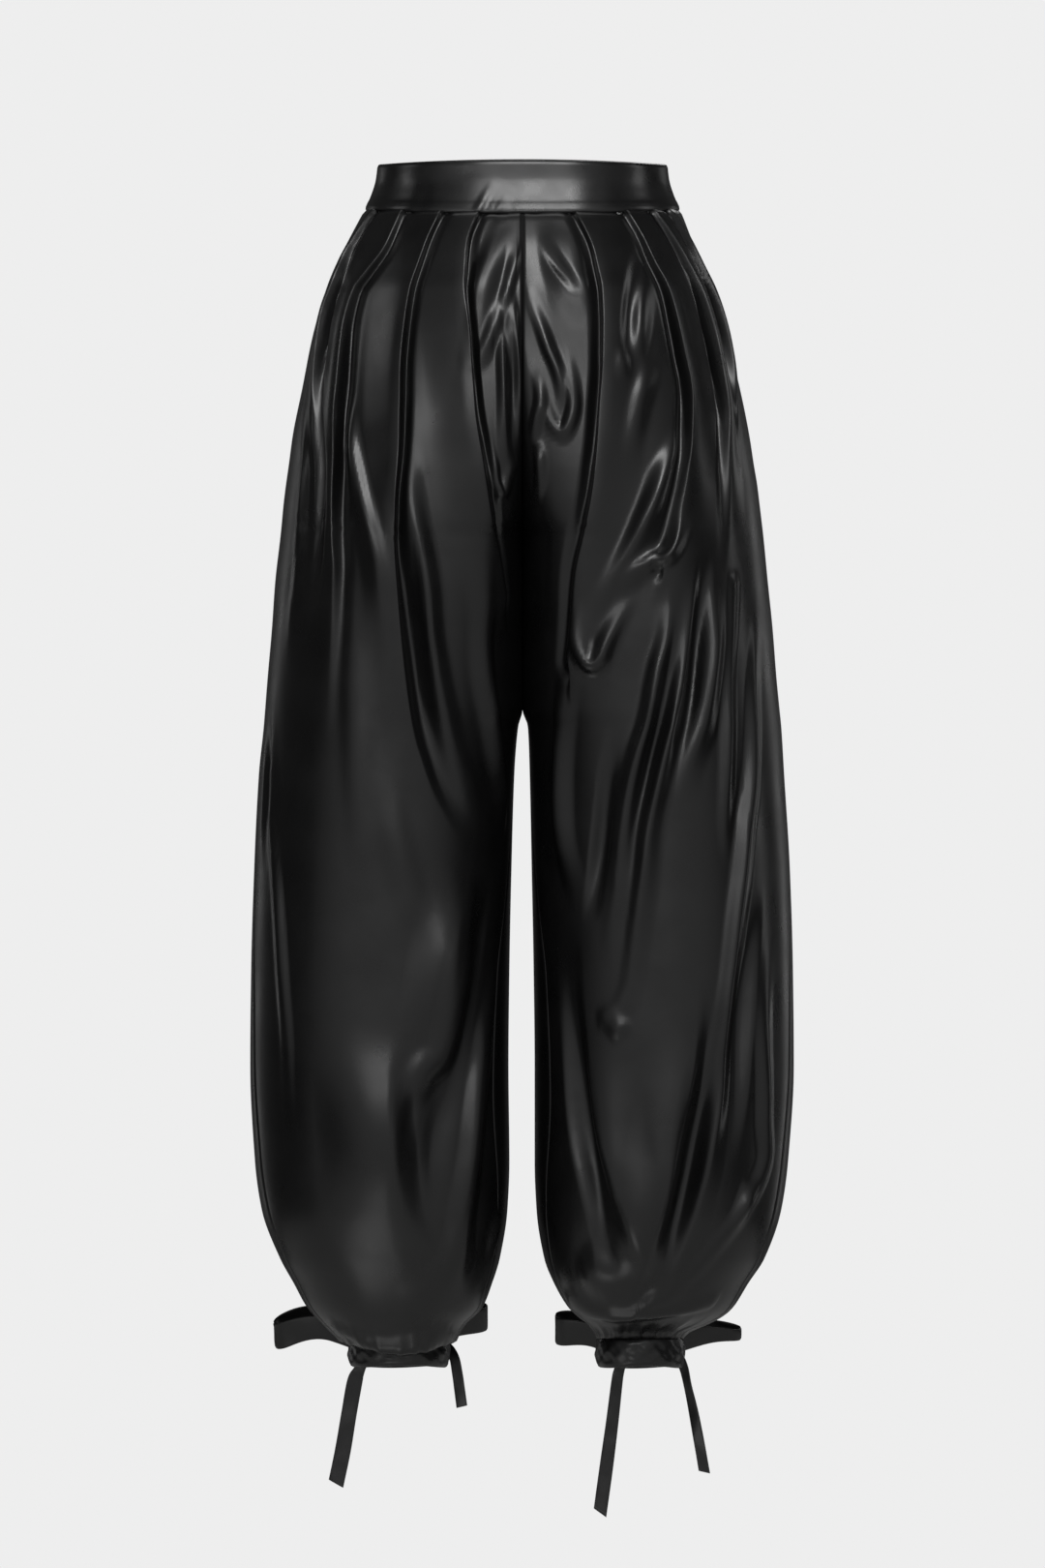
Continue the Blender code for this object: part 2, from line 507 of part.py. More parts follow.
def turned(side, panel):
    """True where the grid's own direction would point the faces inwards."""
    return (side == "left") != (panel == "back")


def grid_object(name, points, wall, material, flip=False, closed=False):
    """A surface through a grid of points, given its wall by Solidify."""
    rows, columns = points.shape[:2]
    index = np.arange(rows * columns).reshape(rows, columns)
    if closed:
        index = np.hstack([index, index[:, :1]])
    a, b = index[:-1, :-1], index[:-1, 1:]
    c, d = index[1:, 1:], index[1:, :-1]
    faces = np.stack([a, b, c, d], axis=-1).reshape(-1, 4)
    if flip:
        faces = faces[:, ::-1]
    mesh = bpy.data.meshes.new(name)
    mesh.from_pydata(points.reshape(-1, 3).tolist(), [], faces.tolist())
    mesh.shade_smooth()
    mesh.materials.append(material)
    piece = bpy.data.objects.new(name, mesh)
    bpy.data.collections[COLLECTION].objects.link(piece)
    solid = piece.modifiers.new("wall", "SOLIDIFY")
    solid.thickness = wall * MM
    solid.offset = -1.0


def wall_object(name, outer, inner, material, flip):
    """A wall between two grids of points, closed along its four edges."""
    rows, columns = outer.shape[:2]
    index = np.arange(rows * columns).reshape(rows, columns)
    a, b, c, d = index[:-1, :-1], index[:-1, 1:], index[1:, 1:], index[1:, :-1]
    skin = np.stack([a, b, d, b, c, d], axis=-1).reshape(-1, 3)
    under = skin[:, ::-1] + rows * columns
    edge = np.concatenate([index[0, :-1], index[:-1, -1], index[-1, :0:-1], index[:0:-1, 0]])
    after = np.roll(edge, -1)
    below, below_after = edge + rows * columns, after + rows * columns
    rim = np.stack([after, edge, below, after, below, below_after], axis=-1).reshape(-1, 3)
    faces = np.vstack([skin, under, rim])
    if flip:
        faces = faces[:, ::-1]
    points = np.vstack([outer.reshape(-1, 3), inner.reshape(-1, 3)])
    mesh = bpy.data.meshes.new(name)
    mesh.from_pydata(points.tolist(), [], faces.tolist())
    mesh.shade_smooth()
    mesh.materials.append(material)
    piece = bpy.data.objects.new(name, mesh)
    bpy.data.collections[COLLECTION].objects.link(piece)


def make_panels(material):
    """The two fronts and the two backs."""
    for side in ("left", "right"):
        for panel in ("front", "back"):
            outer, inner = panel_walls(side, panel)
            wall_object(f"{panel}_{side}", outer, inner, material, turned(side, panel))


def make_waistband(material):
    """A ring open at the centre back, where the closure's seam runs."""
    rings = []
    t = np.linspace(0, math.pi / 2, WAISTBAND_COLUMNS)
    for row in WAISTBAND_ROWS:
        x = np.concatenate([row.apex + (row.half_width - row.apex) * np.cos(t) ** (2 / FRONT_CURVE),
                            [row.apex / 2, CLEFT]])
        y = np.concatenate([row.half_depth * np.sin(t) ** (2 / FRONT_CURVE), [row.half_depth] * 2])
        depth = row.middle + (row.side - row.middle) * (x / row.half_width) ** 2
        right_back = place(x[::-1], y[::-1], depth[::-1])
        right_front = place(x[1:-1], -y[1:-1], depth[1:-1])
        centre = place(np.zeros(1), -y[-1:], np.array([row.middle]))
        half = np.vstack([right_back, right_front])
        other = half[::-1] * np.array([-1.0, 1.0, 1.0])
        rings.append(np.vstack([half, centre, other]))
    grid_object("waistband", np.array(rings), BAND_WALL, material)


def make_ankle_band(side, material):
    """A plain ring round the ankle."""
    ankle = ANKLES[side]
    angle = np.linspace(0, 2 * math.pi, ANKLE_COLUMNS, endpoint=False)
    rings = []
    for depth in (ankle.top, (ankle.top + ankle.bottom) / 2, ankle.bottom):
        rings.append(place(ankle.centre + ankle.half_width * np.cos(angle),
                           ankle.half_depth * np.sin(angle), np.full(ANKLE_COLUMNS, float(depth))))
    grid_object(f"ankle_band_{side}", np.array(rings), BAND_WALL, material, flip=True, closed=True)


def ribbon_grid(middle, width, turn, reference):
    """Points across a flat ribbon: its width turns about its middle line."""
    tangent = np.gradient(middle, axis=0)
    tangent /= np.linalg.norm(tangent, axis=1, keepdims=True)
    across = reference - tangent * (tangent @ reference)[:, None]
    across /= np.linalg.norm(across, axis=1, keepdims=True)
    turn = np.radians(turn)[:, None]
    across = across * np.cos(turn) + np.cross(tangent, across) * np.sin(turn)
    half = width[:, None] * MM / 2
    return np.stack([middle - across * half, middle + across * half], axis=1)


def loop_grid(loop):
    """A bow's loop: out along its front ply, round the tip, back along the other."""
    shape = curve_through(LOOP_SHAPE, LOOP_STEPS)
    reach = np.concatenate([shape[:, 0], shape[-2::-1, 0]])
    part = np.concatenate([-shape[:, 1], shape[-2::-1, 1]]) * loop.gape / 2
    lean = math.radians(LOOP_LEAN)
    x = loop.root_x + (loop.tip_x - loop.root_x) * reach
    y = loop.root_y + (loop.tip_y - loop.root_y) * reach ** LOOP_SWEEP + part * math.cos(lean)
    depth = (loop.root_depth + (loop.tip_depth - loop.root_depth) * reach
             - loop.arch * np.sin(math.pi * reach) - part * math.sin(lean))
    width = LOOP_ROOT_WIDTH + (loop.width - LOOP_ROOT_WIDTH) * ease(reach / LOOP_WIDEST)
    width = width + (loop.tip_width - loop.width) * ease((reach - LOOP_WIDEST) / (1 - LOOP_WIDEST))
    upright = np.array([0.0, -math.sin(lean), math.cos(lean)])
    return ribbon_grid(place(x, y, depth), width, np.zeros(len(x)), upright)


def make_bow(side, material):
    """Knot, two loops and two tails behind one ankle."""
    knot = KNOTS[side]
    mesh = bpy.data.meshes.new(f"bow_knot_{side}")
    ball = bmesh.new()
    bmesh.ops.create_uvsphere(ball, u_segments=KNOT_SEGMENTS, v_segments=KNOT_RINGS, radius=1.0)
    ball.to_mesh(mesh)
    ball.free()
    mesh.shade_smooth()
    mesh.materials.append(material)
    piece = bpy.data.objects.new(f"bow_knot_{side}", mesh)
    bpy.data.collections[COLLECTION].objects.link(piece)
    piece.location = place(np.array(knot.x), np.array(knot.y), np.array(knot.depth)).tolist()
    piece.scale = (knot.half_x * MM, knot.half_y * MM, knot.half_z * MM)
    for name, loop in LOOPS[side].items():
        grid_object(f"bow_loop_{name}_{side}", loop_grid(loop), RIBBON_WALL, material)
    for name, line in TAILS[side].items():
        path = curve_through(line, TAIL_STEPS)
        middle = place(path[:, 0], path[:, 1], path[:, 2])
        points = ribbon_grid(middle, path[:, 4], path[:, 3], np.array([1.0, 0.0, 0.0]))
        grid_object(f"bow_tail_{name}_{side}", points, RIBBON_WALL, material)


def make_leather():
    """Black coated cloth with a soft shine."""
    material = bpy.data.materials.new("faux_leather_black")
    material.use_nodes = True
    shader = material.node_tree.nodes["Principled BSDF"]
    shader.inputs["Base Color"].default_value = BLACK
    shader.inputs["Roughness"].default_value = LEATHER_ROUGHNESS
    shader.inputs["Metallic"].default_value = 0.0
    return material


def main():
    for old in list(bpy.data.objects):
        bpy.data.objects.remove(old, do_unlink=True)
    bpy.context.scene.collection.children.link(bpy.data.collections.new(COLLECTION))
    leather = make_leather()
    make_waistband(leather)
    make_panels(leather)
    for side in ("left", "right"):
        make_ankle_band(side, leather)
        make_bow(side, leather)


main()
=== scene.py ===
# %% [markdown]
# # Faux leather trousers
# High-waisted balloon trousers in smooth black faux leather: a plain waistband, knife pleats, two wide
# legs gathered into narrow ankle bands, and a tied bow behind each ankle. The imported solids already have
# the garment's true form. Here each piece gets a finer surface on that same form, its creases and its
# finish. Cloth bends everywhere, so every piece rides on the one body "root".

# %% Load the frame and keep its box
import math
from collections import namedtuple

import bpy
import numpy as np
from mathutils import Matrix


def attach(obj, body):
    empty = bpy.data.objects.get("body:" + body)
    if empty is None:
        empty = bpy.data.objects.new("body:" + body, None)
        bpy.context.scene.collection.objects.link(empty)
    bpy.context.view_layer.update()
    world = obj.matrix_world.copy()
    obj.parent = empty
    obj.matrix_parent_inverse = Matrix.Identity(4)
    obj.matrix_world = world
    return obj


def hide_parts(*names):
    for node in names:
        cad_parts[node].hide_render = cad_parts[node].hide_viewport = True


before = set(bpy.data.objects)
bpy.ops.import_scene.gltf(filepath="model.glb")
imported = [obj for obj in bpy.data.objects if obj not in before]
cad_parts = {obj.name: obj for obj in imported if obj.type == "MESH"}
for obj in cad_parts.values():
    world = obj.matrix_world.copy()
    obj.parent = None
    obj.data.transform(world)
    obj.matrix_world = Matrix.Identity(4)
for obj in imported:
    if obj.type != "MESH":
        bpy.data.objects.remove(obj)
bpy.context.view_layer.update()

# %% [markdown]
# ## Camera
# The photo looks straight at the garment from waist height down, with little perspective. A long lens at
# 6 m gives that. Its focal length follows from one scale: a photo pixel is 0.83 mm in the plane y = 0.

# %% Camera
MM = 0.001
VIEW_DISTANCE = 6.0         # metres in front of the garment
EYE_DEPTH = 0.535           # metres below the top of the waistband
IMAGE_HEIGHT = 1620         # pixels of the whole frame
MM_A_PIXEL = 0.83
SENSOR = 36.0

lens = bpy.data.cameras.new("camera")
lens.sensor_fit = "VERTICAL"
lens.sensor_height = SENSOR
lens.lens = SENSOR * VIEW_DISTANCE / (IMAGE_HEIGHT * MM_A_PIXEL * MM)
camera = bpy.data.objects.new("camera", lens)
camera.location = (0.0, -VIEW_DISTANCE, -EYE_DEPTH)
camera.rotation_euler = (math.pi / 2, 0.0, 0.0)
bpy.context.scene.collection.objects.link(camera)
bpy.context.scene.camera = camera
print("focal length in mm:", round(lens.lens, 1))

# %% [markdown]
# ## Studio
# Black leather shows almost nothing but what it mirrors, so the light is planned as shapes to be
# reflected: grey all round the front, darkness behind, one soft box high in front for the sheen on the
# waistband, and tall strips at the sides that draw the bright lines along the pleats. The backdrop that
# the camera sees is a plain pale grey of its own.

# %% World and lights
BACKDROP = (0.855, 0.855, 0.855, 1.0)
Softbox = namedtuple("Softbox", "name place aim size radiance")
SOFTBOXES = [
    Softbox("key", (0.30, -3.05, 2.1), (0.03, -0.1, -0.12), (1.2, 1.5), 10.0),
    Softbox("front_strip", (-0.4, -3.4, 0.34), (0.0, 0.0, -0.25), (2.6, 0.28), 8.0),
    Softbox("low", (-0.30, -0.55, -1.42), (0.05, -0.1, -0.95), (0.42, 0.30), 1.0),
    Softbox("high_left", (-2.5, -0.1, 0.9), (-0.1, 0.0, -0.15), (0.5, 0.9), 2.2),
    Softbox("high_right", (2.5, -0.1, 0.9), (0.1, 0.0, -0.15), (0.5, 0.9), 2.6),
    Softbox("side_right", (2.5, 0.5, -0.6), (0.1, 0.0, -0.6), (0.4, 1.4), 1.2),
    Softbox("rim_left", (-1.8, 2.1, -0.45), (-0.1, 0.0, -0.55), (0.35, 2.2), 0.6),
    Softbox("rim_right", (1.8, 2.1, -0.45), (0.1, 0.0, -0.55), (0.35, 2.2), 0.8),
    Softbox("overhead", (0.0, 0.3, 2.6), (0.0, 0.0, 0.0), (1.6, 1.6), 1.5),
    Softbox("rear", (0.5, 3.0, 1.5), (0.0, 0.0, -0.4), (1.2, 1.0), 3.0),
]
FRONT_GREY = 0.55           # what the leather mirrors from in front
SIDE_GREY = 0.06            # and from the sides and behind
FRONT_EDGE = (-0.85, -0.25) # y of a direction: all grey below the first, dark past the second


def softbox(box):
    """A rectangular area light of a given radiance, turned to face its aim."""
    data = bpy.data.lights.new(box.name, "AREA")
    data.shape = "RECTANGLE"
    data.size, data.size_y = box.size
    data.energy = box.radiance * math.pi * box.size[0] * box.size[1]
    light = bpy.data.objects.new(box.name, data)
    bpy.context.scene.collection.objects.link(light)
    toward = np.array(box.aim) - np.array(box.place)
    flat = math.hypot(toward[0], toward[1])
    light.location = box.place
    light.visible_camera = False
    light.rotation_euler = (math.atan2(flat, -toward[2]), 0.0, math.atan2(-toward[0], toward[1]))


def studio_world():
    """Pale to the camera. To everything else, grey in front that fades to dark behind."""
    world = bpy.data.worlds.new("studio")
    world.use_nodes = True
    tree = world.node_tree
    tree.nodes.clear()
    place = tree.nodes.new("ShaderNodeTexCoord")
    parts = tree.nodes.new("ShaderNodeSeparateXYZ")
    fade = tree.nodes.new("ShaderNodeMapRange")
    fade.interpolation_type = "SMOOTHSTEP"
    fade.inputs["From Min"].default_value = FRONT_EDGE[0]
    fade.inputs["From Max"].default_value = FRONT_EDGE[1]
    fade.inputs["To Min"].default_value = FRONT_GREY
    fade.inputs["To Max"].default_value = SIDE_GREY
    around = tree.nodes.new("ShaderNodeBackground")
    backdrop = tree.nodes.new("ShaderNodeBackground")
    backdrop.inputs["Color"].default_value = BACKDROP
    path = tree.nodes.new("ShaderNodeLightPath")
    mix = tree.nodes.new("ShaderNodeMixShader")
    out = tree.nodes.new("ShaderNodeOutputWorld")
    tree.links.new(place.outputs["Generated"], parts.inputs[0])
    tree.links.new(parts.outputs["Y"], fade.inputs["Value"])
    tree.links.new(fade.outputs["Result"], around.inputs["Strength"])
    tree.links.new(path.outputs["Is Camera Ray"], mix.inputs["Fac"])
    tree.links.new(around.outputs[0], mix.inputs[1])
    tree.links.new(backdrop.outputs[0], mix.inputs[2])
    tree.links.new(mix.outputs[0], out.inputs["Surface"])
    return world


bpy.context.scene.world = studio_world()
bpy.context.scene.view_settings.view_transform = "Standard"
for box in SOFTBOXES:
    softbox(box)
print("soft boxes:", [box.name for box in SOFTBOXES])

# %% [markdown]
# ## Finishes
# Faux leather is a knit cloth under a thin film. The film is near black, with a satin gloss, a very fine
# pebble, and a slow unevenness that makes its highlights wander. One node group makes these masks from
# Object coordinates, and each material takes them at its own strengths.

# %% The group of leather masks
def socket(group, name, direction, kind, value=None):
    """One named socket on a node group's interface."""
    made = group.interface.new_socket(name=name, in_out=direction, socket_type=kind)
    if value is not None:
        made.default_value = value


WAVER_DETAIL = 4.0
WAVER_RANGE = (0.35, 0.65)  # the part of the noise that the roughness follows


def film_group():
    """Colour, roughness and height of the film: pebble at a millimetre, waver at centimetres."""
    group = bpy.data.node_groups.new("leather_film", "ShaderNodeTree")
    socket(group, "Pebble Scale", "INPUT", "NodeSocketFloat", 1100.0)
    socket(group, "Waver Scale", "INPUT", "NodeSocketFloat", 26.0)
    socket(group, "Waver Share", "INPUT", "NodeSocketFloat", 6.0)
    socket(group, "Dark", "INPUT", "NodeSocketColor", (0.0025, 0.0025, 0.0026, 1.0))
    socket(group, "Light", "INPUT", "NodeSocketColor", (0.0050, 0.0050, 0.0052, 1.0))
    socket(group, "Smoothest", "INPUT", "NodeSocketFloat", 0.30)
    socket(group, "Roughest", "INPUT", "NodeSocketFloat", 0.40)
    socket(group, "Color", "OUTPUT", "NodeSocketColor")
    socket(group, "Roughness", "OUTPUT", "NodeSocketFloat")
    socket(group, "Height", "OUTPUT", "NodeSocketFloat")
    nodes, links = group.nodes, group.links
    given = nodes.new("NodeGroupInput")
    result = nodes.new("NodeGroupOutput")
    place = nodes.new("ShaderNodeTexCoord")

    pebble = nodes.new("ShaderNodeTexVoronoi")
    pebble.feature = "SMOOTH_F1"
    links.new(place.outputs["Object"], pebble.inputs["Vector"])
    links.new(given.outputs["Pebble Scale"], pebble.inputs["Scale"])
    waver = nodes.new("ShaderNodeTexNoise")
    waver.inputs["Detail"].default_value = WAVER_DETAIL
    links.new(place.outputs["Object"], waver.inputs["Vector"])
    links.new(given.outputs["Waver Scale"], waver.inputs["Scale"])

    tint = nodes.new("ShaderNodeMix")
    tint.data_type = "RGBA"
    links.new(waver.outputs["Fac"], tint.inputs["Factor"])
    links.new(given.outputs["Dark"], tint.inputs["A"])
    links.new(given.outputs["Light"], tint.inputs["B"])
    links.new(tint.outputs["Result"], result.inputs["Color"])

    rough = nodes.new("ShaderNodeMapRange")
    rough.inputs["From Min"].default_value = WAVER_RANGE[0]
    rough.inputs["From Max"].default_value = WAVER_RANGE[1]
    links.new(waver.outputs["Fac"], rough.inputs["Value"])
    links.new(given.outputs["Smoothest"], rough.inputs["To Min"])
    links.new(given.outputs["Roughest"], rough.inputs["To Max"])
    links.new(rough.outputs["Result"], result.inputs["Roughness"])

    height = nodes.new("ShaderNodeMath")
    height.operation = "MULTIPLY_ADD"
    links.new(waver.outputs["Fac"], height.inputs[0])
    links.new(given.outputs["Waver Share"], height.inputs[1])
    links.new(pebble.outputs["Distance"], height.inputs[2])
    links.new(height.outputs[0], result.inputs["Height"])
    return group


film = film_group()
print("sockets of the film group:", len(film.interface.items_tree))

# %% The leather of the legs, the bands and the ties
Finish = namedtuple("Finish", "name waver_scale waver_share smoothest roughest bump")
FINISHES = {
    "legs": Finish("leather_legs", 24.0, 6.0, 0.27, 0.34, 0.05),
    "bands": Finish("leather_bands", 42.0, 5.0, 0.26, 0.34, 0.06),
    "ties": Finish("leather_ties", 60.0, 4.0, 0.28, 0.36, 0.06),
}
BUMP_DISTANCE = 0.0006
FILM_IOR = 1.5


def leather(finish):
    """Near-black satin film: the group's masks drive colour, roughness and a fine bump."""
    material = bpy.data.materials.new(finish.name)
    material.use_nodes = True
    tree = material.node_tree
    shader = tree.nodes["Principled BSDF"]
    shader.inputs["IOR"].default_value = FILM_IOR
    masks = tree.nodes.new("ShaderNodeGroup")
    masks.node_tree = film
    masks.inputs["Waver Scale"].default_value = finish.waver_scale
    masks.inputs["Waver Share"].default_value = finish.waver_share
    masks.inputs["Smoothest"].default_value = finish.smoothest
    masks.inputs["Roughest"].default_value = finish.roughest
    bump = tree.nodes.new("ShaderNodeBump")
    bump.inputs["Strength"].default_value = finish.bump
    bump.inputs["Distance"].default_value = BUMP_DISTANCE
    tree.links.new(masks.outputs["Color"], shader.inputs["Base Color"])
    tree.links.new(masks.outputs["Roughness"], shader.inputs["Roughness"])
    tree.links.new(masks.outputs["Height"], bump.inputs["Height"])
    tree.links.new(bump.outputs["Normal"], shader.inputs["Normal"])
    return material


LEATHER = {part: leather(finish) for part, finish in FINISHES.items()}
print("materials:", [material.name for material in LEATHER.values()])

# %% [markdown]
# ## Floor
# A plain pale disc, well below the ties and out of the frame, which also gives the hems some light from
# below.

# %% Floor
FLOOR_RADIUS = 1.6
FLOOR_SIDES = 96
FLOOR_DEPTH = 1.52
FLOOR_COLOUR = (0.72, 0.72, 0.71, 1.0)
MOTTLE_SCALE = 5.0
MOTTLE_DARKEST = 0.96


def plain_material(name, colour, roughness):
    """A matt painted surface with a faint mottle, so that it isn't one flat colour."""
    material = bpy.data.materials.new(name)
    material.use_nodes = True
    shader = material.node_tree.nodes["Principled BSDF"]
    shader.inputs["Roughness"].default_value = roughness
    mottle = material.node_tree.nodes.new("ShaderNodeTexNoise")
    mottle.inputs["Scale"].default_value = MOTTLE_SCALE
    ramp = material.node_tree.nodes.new("ShaderNodeMix")
    ramp.data_type = "RGBA"
    ramp.inputs["A"].default_value = colour
    ramp.inputs["B"].default_value = tuple(MOTTLE_DARKEST * value for value in colour[:3]) + (1.0,)
    material.node_tree.links.new(mottle.outputs["Fac"], ramp.inputs["Factor"])
    material.node_tree.links.new(ramp.outputs["Result"], shader.inputs["Base Color"])
    return material


angle = np.linspace(0, 2 * math.pi, FLOOR_SIDES, endpoint=False)
level = np.full(FLOOR_SIDES, -FLOOR_DEPTH / FLOOR_RADIUS)
rim = np.stack([np.cos(angle), np.sin(angle), level], axis=1)
floor_mesh = bpy.data.meshes.new("floor")
floor_mesh.from_pydata((rim * FLOOR_RADIUS).tolist(), [], [list(range(FLOOR_SIDES))])
floor_mesh.materials.append(plain_material("floor_paint", FLOOR_COLOUR, 0.8))
floor = bpy.data.objects.new("floor", floor_mesh)
bpy.context.scene.collection.objects.link(floor)
print("floor at depth", FLOOR_DEPTH)

# %% [markdown]
# ## From the view to the garment
# All tables below hold millimetres as they are seen from the camera: x out from the centre line and
# depth below the top of the waistband. Something nearer to the camera looks larger, so one function
# takes a place in the view, at its distance y, to its true place.

# %% Places and curves
def place(x, y, depth):
    """True position = seen position times (1 + y / view distance), about the camera's axis."""
    scale = 1.0 + y * MM / VIEW_DISTANCE
    height = -(EYE_DEPTH + (depth * MM - EYE_DEPTH) * scale)
    return np.stack([x * MM * scale, y * MM + 0.0 * x, height + 0.0 * x], axis=-1)


def ease(t):
    """0 to 1 with level ends: 3t^2 - 2t^3."""
    t = np.clip(t, 0.0, 1.0)
    return t * t * (3 - 2 * t)


def smooth(table_x, table_y, at):
    """Monotone cubic through a table: Hermite spans with harmonic mean slopes, no overshoot."""
    xs = np.asarray(table_x, float)
    ys = np.asarray(table_y, float)
    step = np.diff(xs)
    slope = np.diff(ys) / step
    same = slope[:-1] * slope[1:] > 0
    mean = np.where(same, 2 * slope[:-1] * slope[1:] / np.where(same, slope[:-1] + slope[1:], 1.0), 0.0)
    tangent = np.concatenate([[slope[0]], mean, [slope[-1]]])
    at = np.clip(np.asarray(at, float), xs[0], xs[-1])
    i = np.clip(np.searchsorted(xs, at, side="right") - 1, 0, len(xs) - 2)
    t = (at - xs[i]) / step[i]
    return ((1 + 2 * t) * (1 - t) ** 2 * ys[i] + t * (1 - t) ** 2 * step[i] * tangent[i]
            + t * t * (3 - 2 * t) * ys[i + 1] + t * t * (t - 1) * step[i] * tangent[i + 1])


def curve_through(points, steps):
    """Catmull-Rom curve through a list of rows, with so many steps a span."""
    p = np.asarray(points, float)
    p = np.vstack([2 * p[0] - p[1], p, 2 * p[-1] - p[-2]])
    t = np.linspace(0, 1, steps, endpoint=False)[:, None]
    spans = []
    for a, b, c, d in zip(p[:-3], p[1:-2], p[2:-1], p[3:]):
        spans.append(0.5 * (2 * b + (c - a) * t + (2 * a - 5 * b + 4 * c - d) * t ** 2
                            + (3 * b - a - 3 * c + d) * t ** 3))
    return np.vstack(spans + [p[-2:-1]])


def along_line(across, down, line):
    """Signed distance of each point to a polyline, + on its centre side, and the share along it."""
    step = np.diff(line, axis=0)
    length = np.concatenate([[0.0], np.cumsum(np.hypot(step[:, 0], step[:, 1]))])
    best = np.full(across.shape, 1e9)
    signed = np.zeros(across.shape)
    share = np.zeros(across.shape)
    for k, (dx, dy) in enumerate(step):
        off_x, off_y = across - line[k, 0], down - line[k, 1]
        t = np.clip((off_x * dx + off_y * dy) / (dx * dx + dy * dy), 0.0, 1.0)
        distance = np.hypot(off_x - t * dx, off_y - t * dy)
        nearer = distance < best
        best = np.where(nearer, distance, best)
        signed = np.where(nearer, np.where(dy * off_x - dx * off_y > 0, distance, -distance), signed)
        share = np.where(nearer, (length[k] + (length[k + 1] - length[k]) * t) / length[-1], share)
    return signed, share


print("a photo pixel at the hip's front is", round(MM_A_PIXEL * (1 - 0.135 / VIEW_DISTANCE), 4), "mm")

# %% [markdown]
# ## The form of a leg
# A leg is a stack of ovals. Each row of the tables gives the leg's two outlines as seen from the front,
# the place of its most forward line, and how deep it is. Half an oval runs from the side seam over the
# apex to the inner seam, as two quarters of a superellipse, so the legs round away as the real ones do
# and meet at the centre seams of the seat. Both leg seams swing forward lower down, as in the photo.

# %% Tables of the leg
SEAM_GAP = -0.2             # neighbours overlap by this much, so that no light shows between them
# run: length measured down the panel; outer and inner: the leg's two outlines;
# apex: x of the most forward line; front, back: distance from the mid plane;
# front_seam, back_seam: y of the centre seams, which meet at the crotch;
# drop: how far the front of a row hangs below its sides.
Row = namedtuple("Row", "run depth outer inner apex front front_seam back_seam back drop")

CLEFT = SEAM_GAP / 2
LEFT_OUTLINE = {42.4: 135.4, 70: 150, 94: 162, 112: 168.9, 153: 180.5, 195: 188.8, 236: 197.1,
                262: 200.6, 278: 202.9, 295: 205, 310: 206.4, 322: 207.6, 361: 212.1, 402: 215,
                444: 218.7, 471: 220.8, 486: 222, 527: 226.2, 610: 230.3, 693: 232.8,
                776: 233.6, 859: 229.5, 900: 223.7, 942: 207.9, 963: 196.3, 984: 184.7}
RIGHT_OUTLINE = {42.4: 135.4, 70: 146, 94: 155.6, 112: 163.1, 153: 175.5, 195: 186.3, 236: 194.6,
                 262: 198.6, 278: 201.3, 295: 203.4, 310: 205.2, 322: 206.6, 361: 210.4, 402: 214.6,
                 444: 217.9, 471: 220.5, 486: 222, 527: 224.5, 610: 229.5, 693: 232,
                 776: 232.8, 859: 227.8, 900: 222, 942: 207.5, 963: 193.8, 984: 180.5}
LEFT_INNER = {486: 3.7, 527: 7, 610: 9.5, 693: 11.2, 776: 12, 859: 11.2, 900: 12.9,
              942: 19.5, 963: 26, 984: 34.4}
RIGHT_INNER = {486: 4.6, 527: 6.2, 610: 7.9, 693: 9.5, 776: 10.4, 859: 10.4, 900: 12,
               942: 18.7, 963: 27, 984: 39.4}

Depths = namedtuple("Depths", "depth apex front front_seam back_seam back")
BODY_DEPTHS = [
    Depths(42.4, 25, 100, 100, 100, 100),
    Depths(70, 32, 112, 112, 109, 109),
    Depths(94, 38, 119, 118, 117, 117),
    Depths(112, 42, 124, 122, 122, 122),
    Depths(153, 52, 130, 127, 129, 130),
    Depths(195, 62, 133.6, 124, 131, 135.3),
    Depths(236, 72, 135.2, 112, 125, 137.6),
    Depths(262, 80, 135.4, 97, 113, 138.1),
    Depths(278, 86, 135.2, 83, 99, 138),
    Depths(295, 92, 134.8, 62, 80, 137.6),
    Depths(310, 97, 134.3, 34, 48, 137),
    Depths(322, 101, 133.8, 0, 0, 136.4),
    Depths(361, 107, 132, 0, 0, 134.2),
    Depths(402, 111, 130, 0, 0, 132),
    Depths(444, 114, 127.9, 0, 0, 129.8),
    Depths(471, 115, 126.7, 0, 0, 128.5),
    Depths(486, 116, 126.1, 0, 0, 127.8),
    Depths(527, 118, 124.6, 0, 0, 126.2),
    Depths(610, 120, 122, 0, 0, 123.8),
    Depths(693, 122, 120, 0, 0, 121.8),
    Depths(776, 122, 118, 0, 0, 119.8),
    Depths(859, 120, 114, 0, 0, 116),
    Depths(900, 118, 109, 0, 0, 111),
    Depths(942, 114, 99, 0, 0, 101),
    Depths(963, 111, 91, 0, 0, 93),
    Depths(984, 108, 80, 0, 0, 82),
]

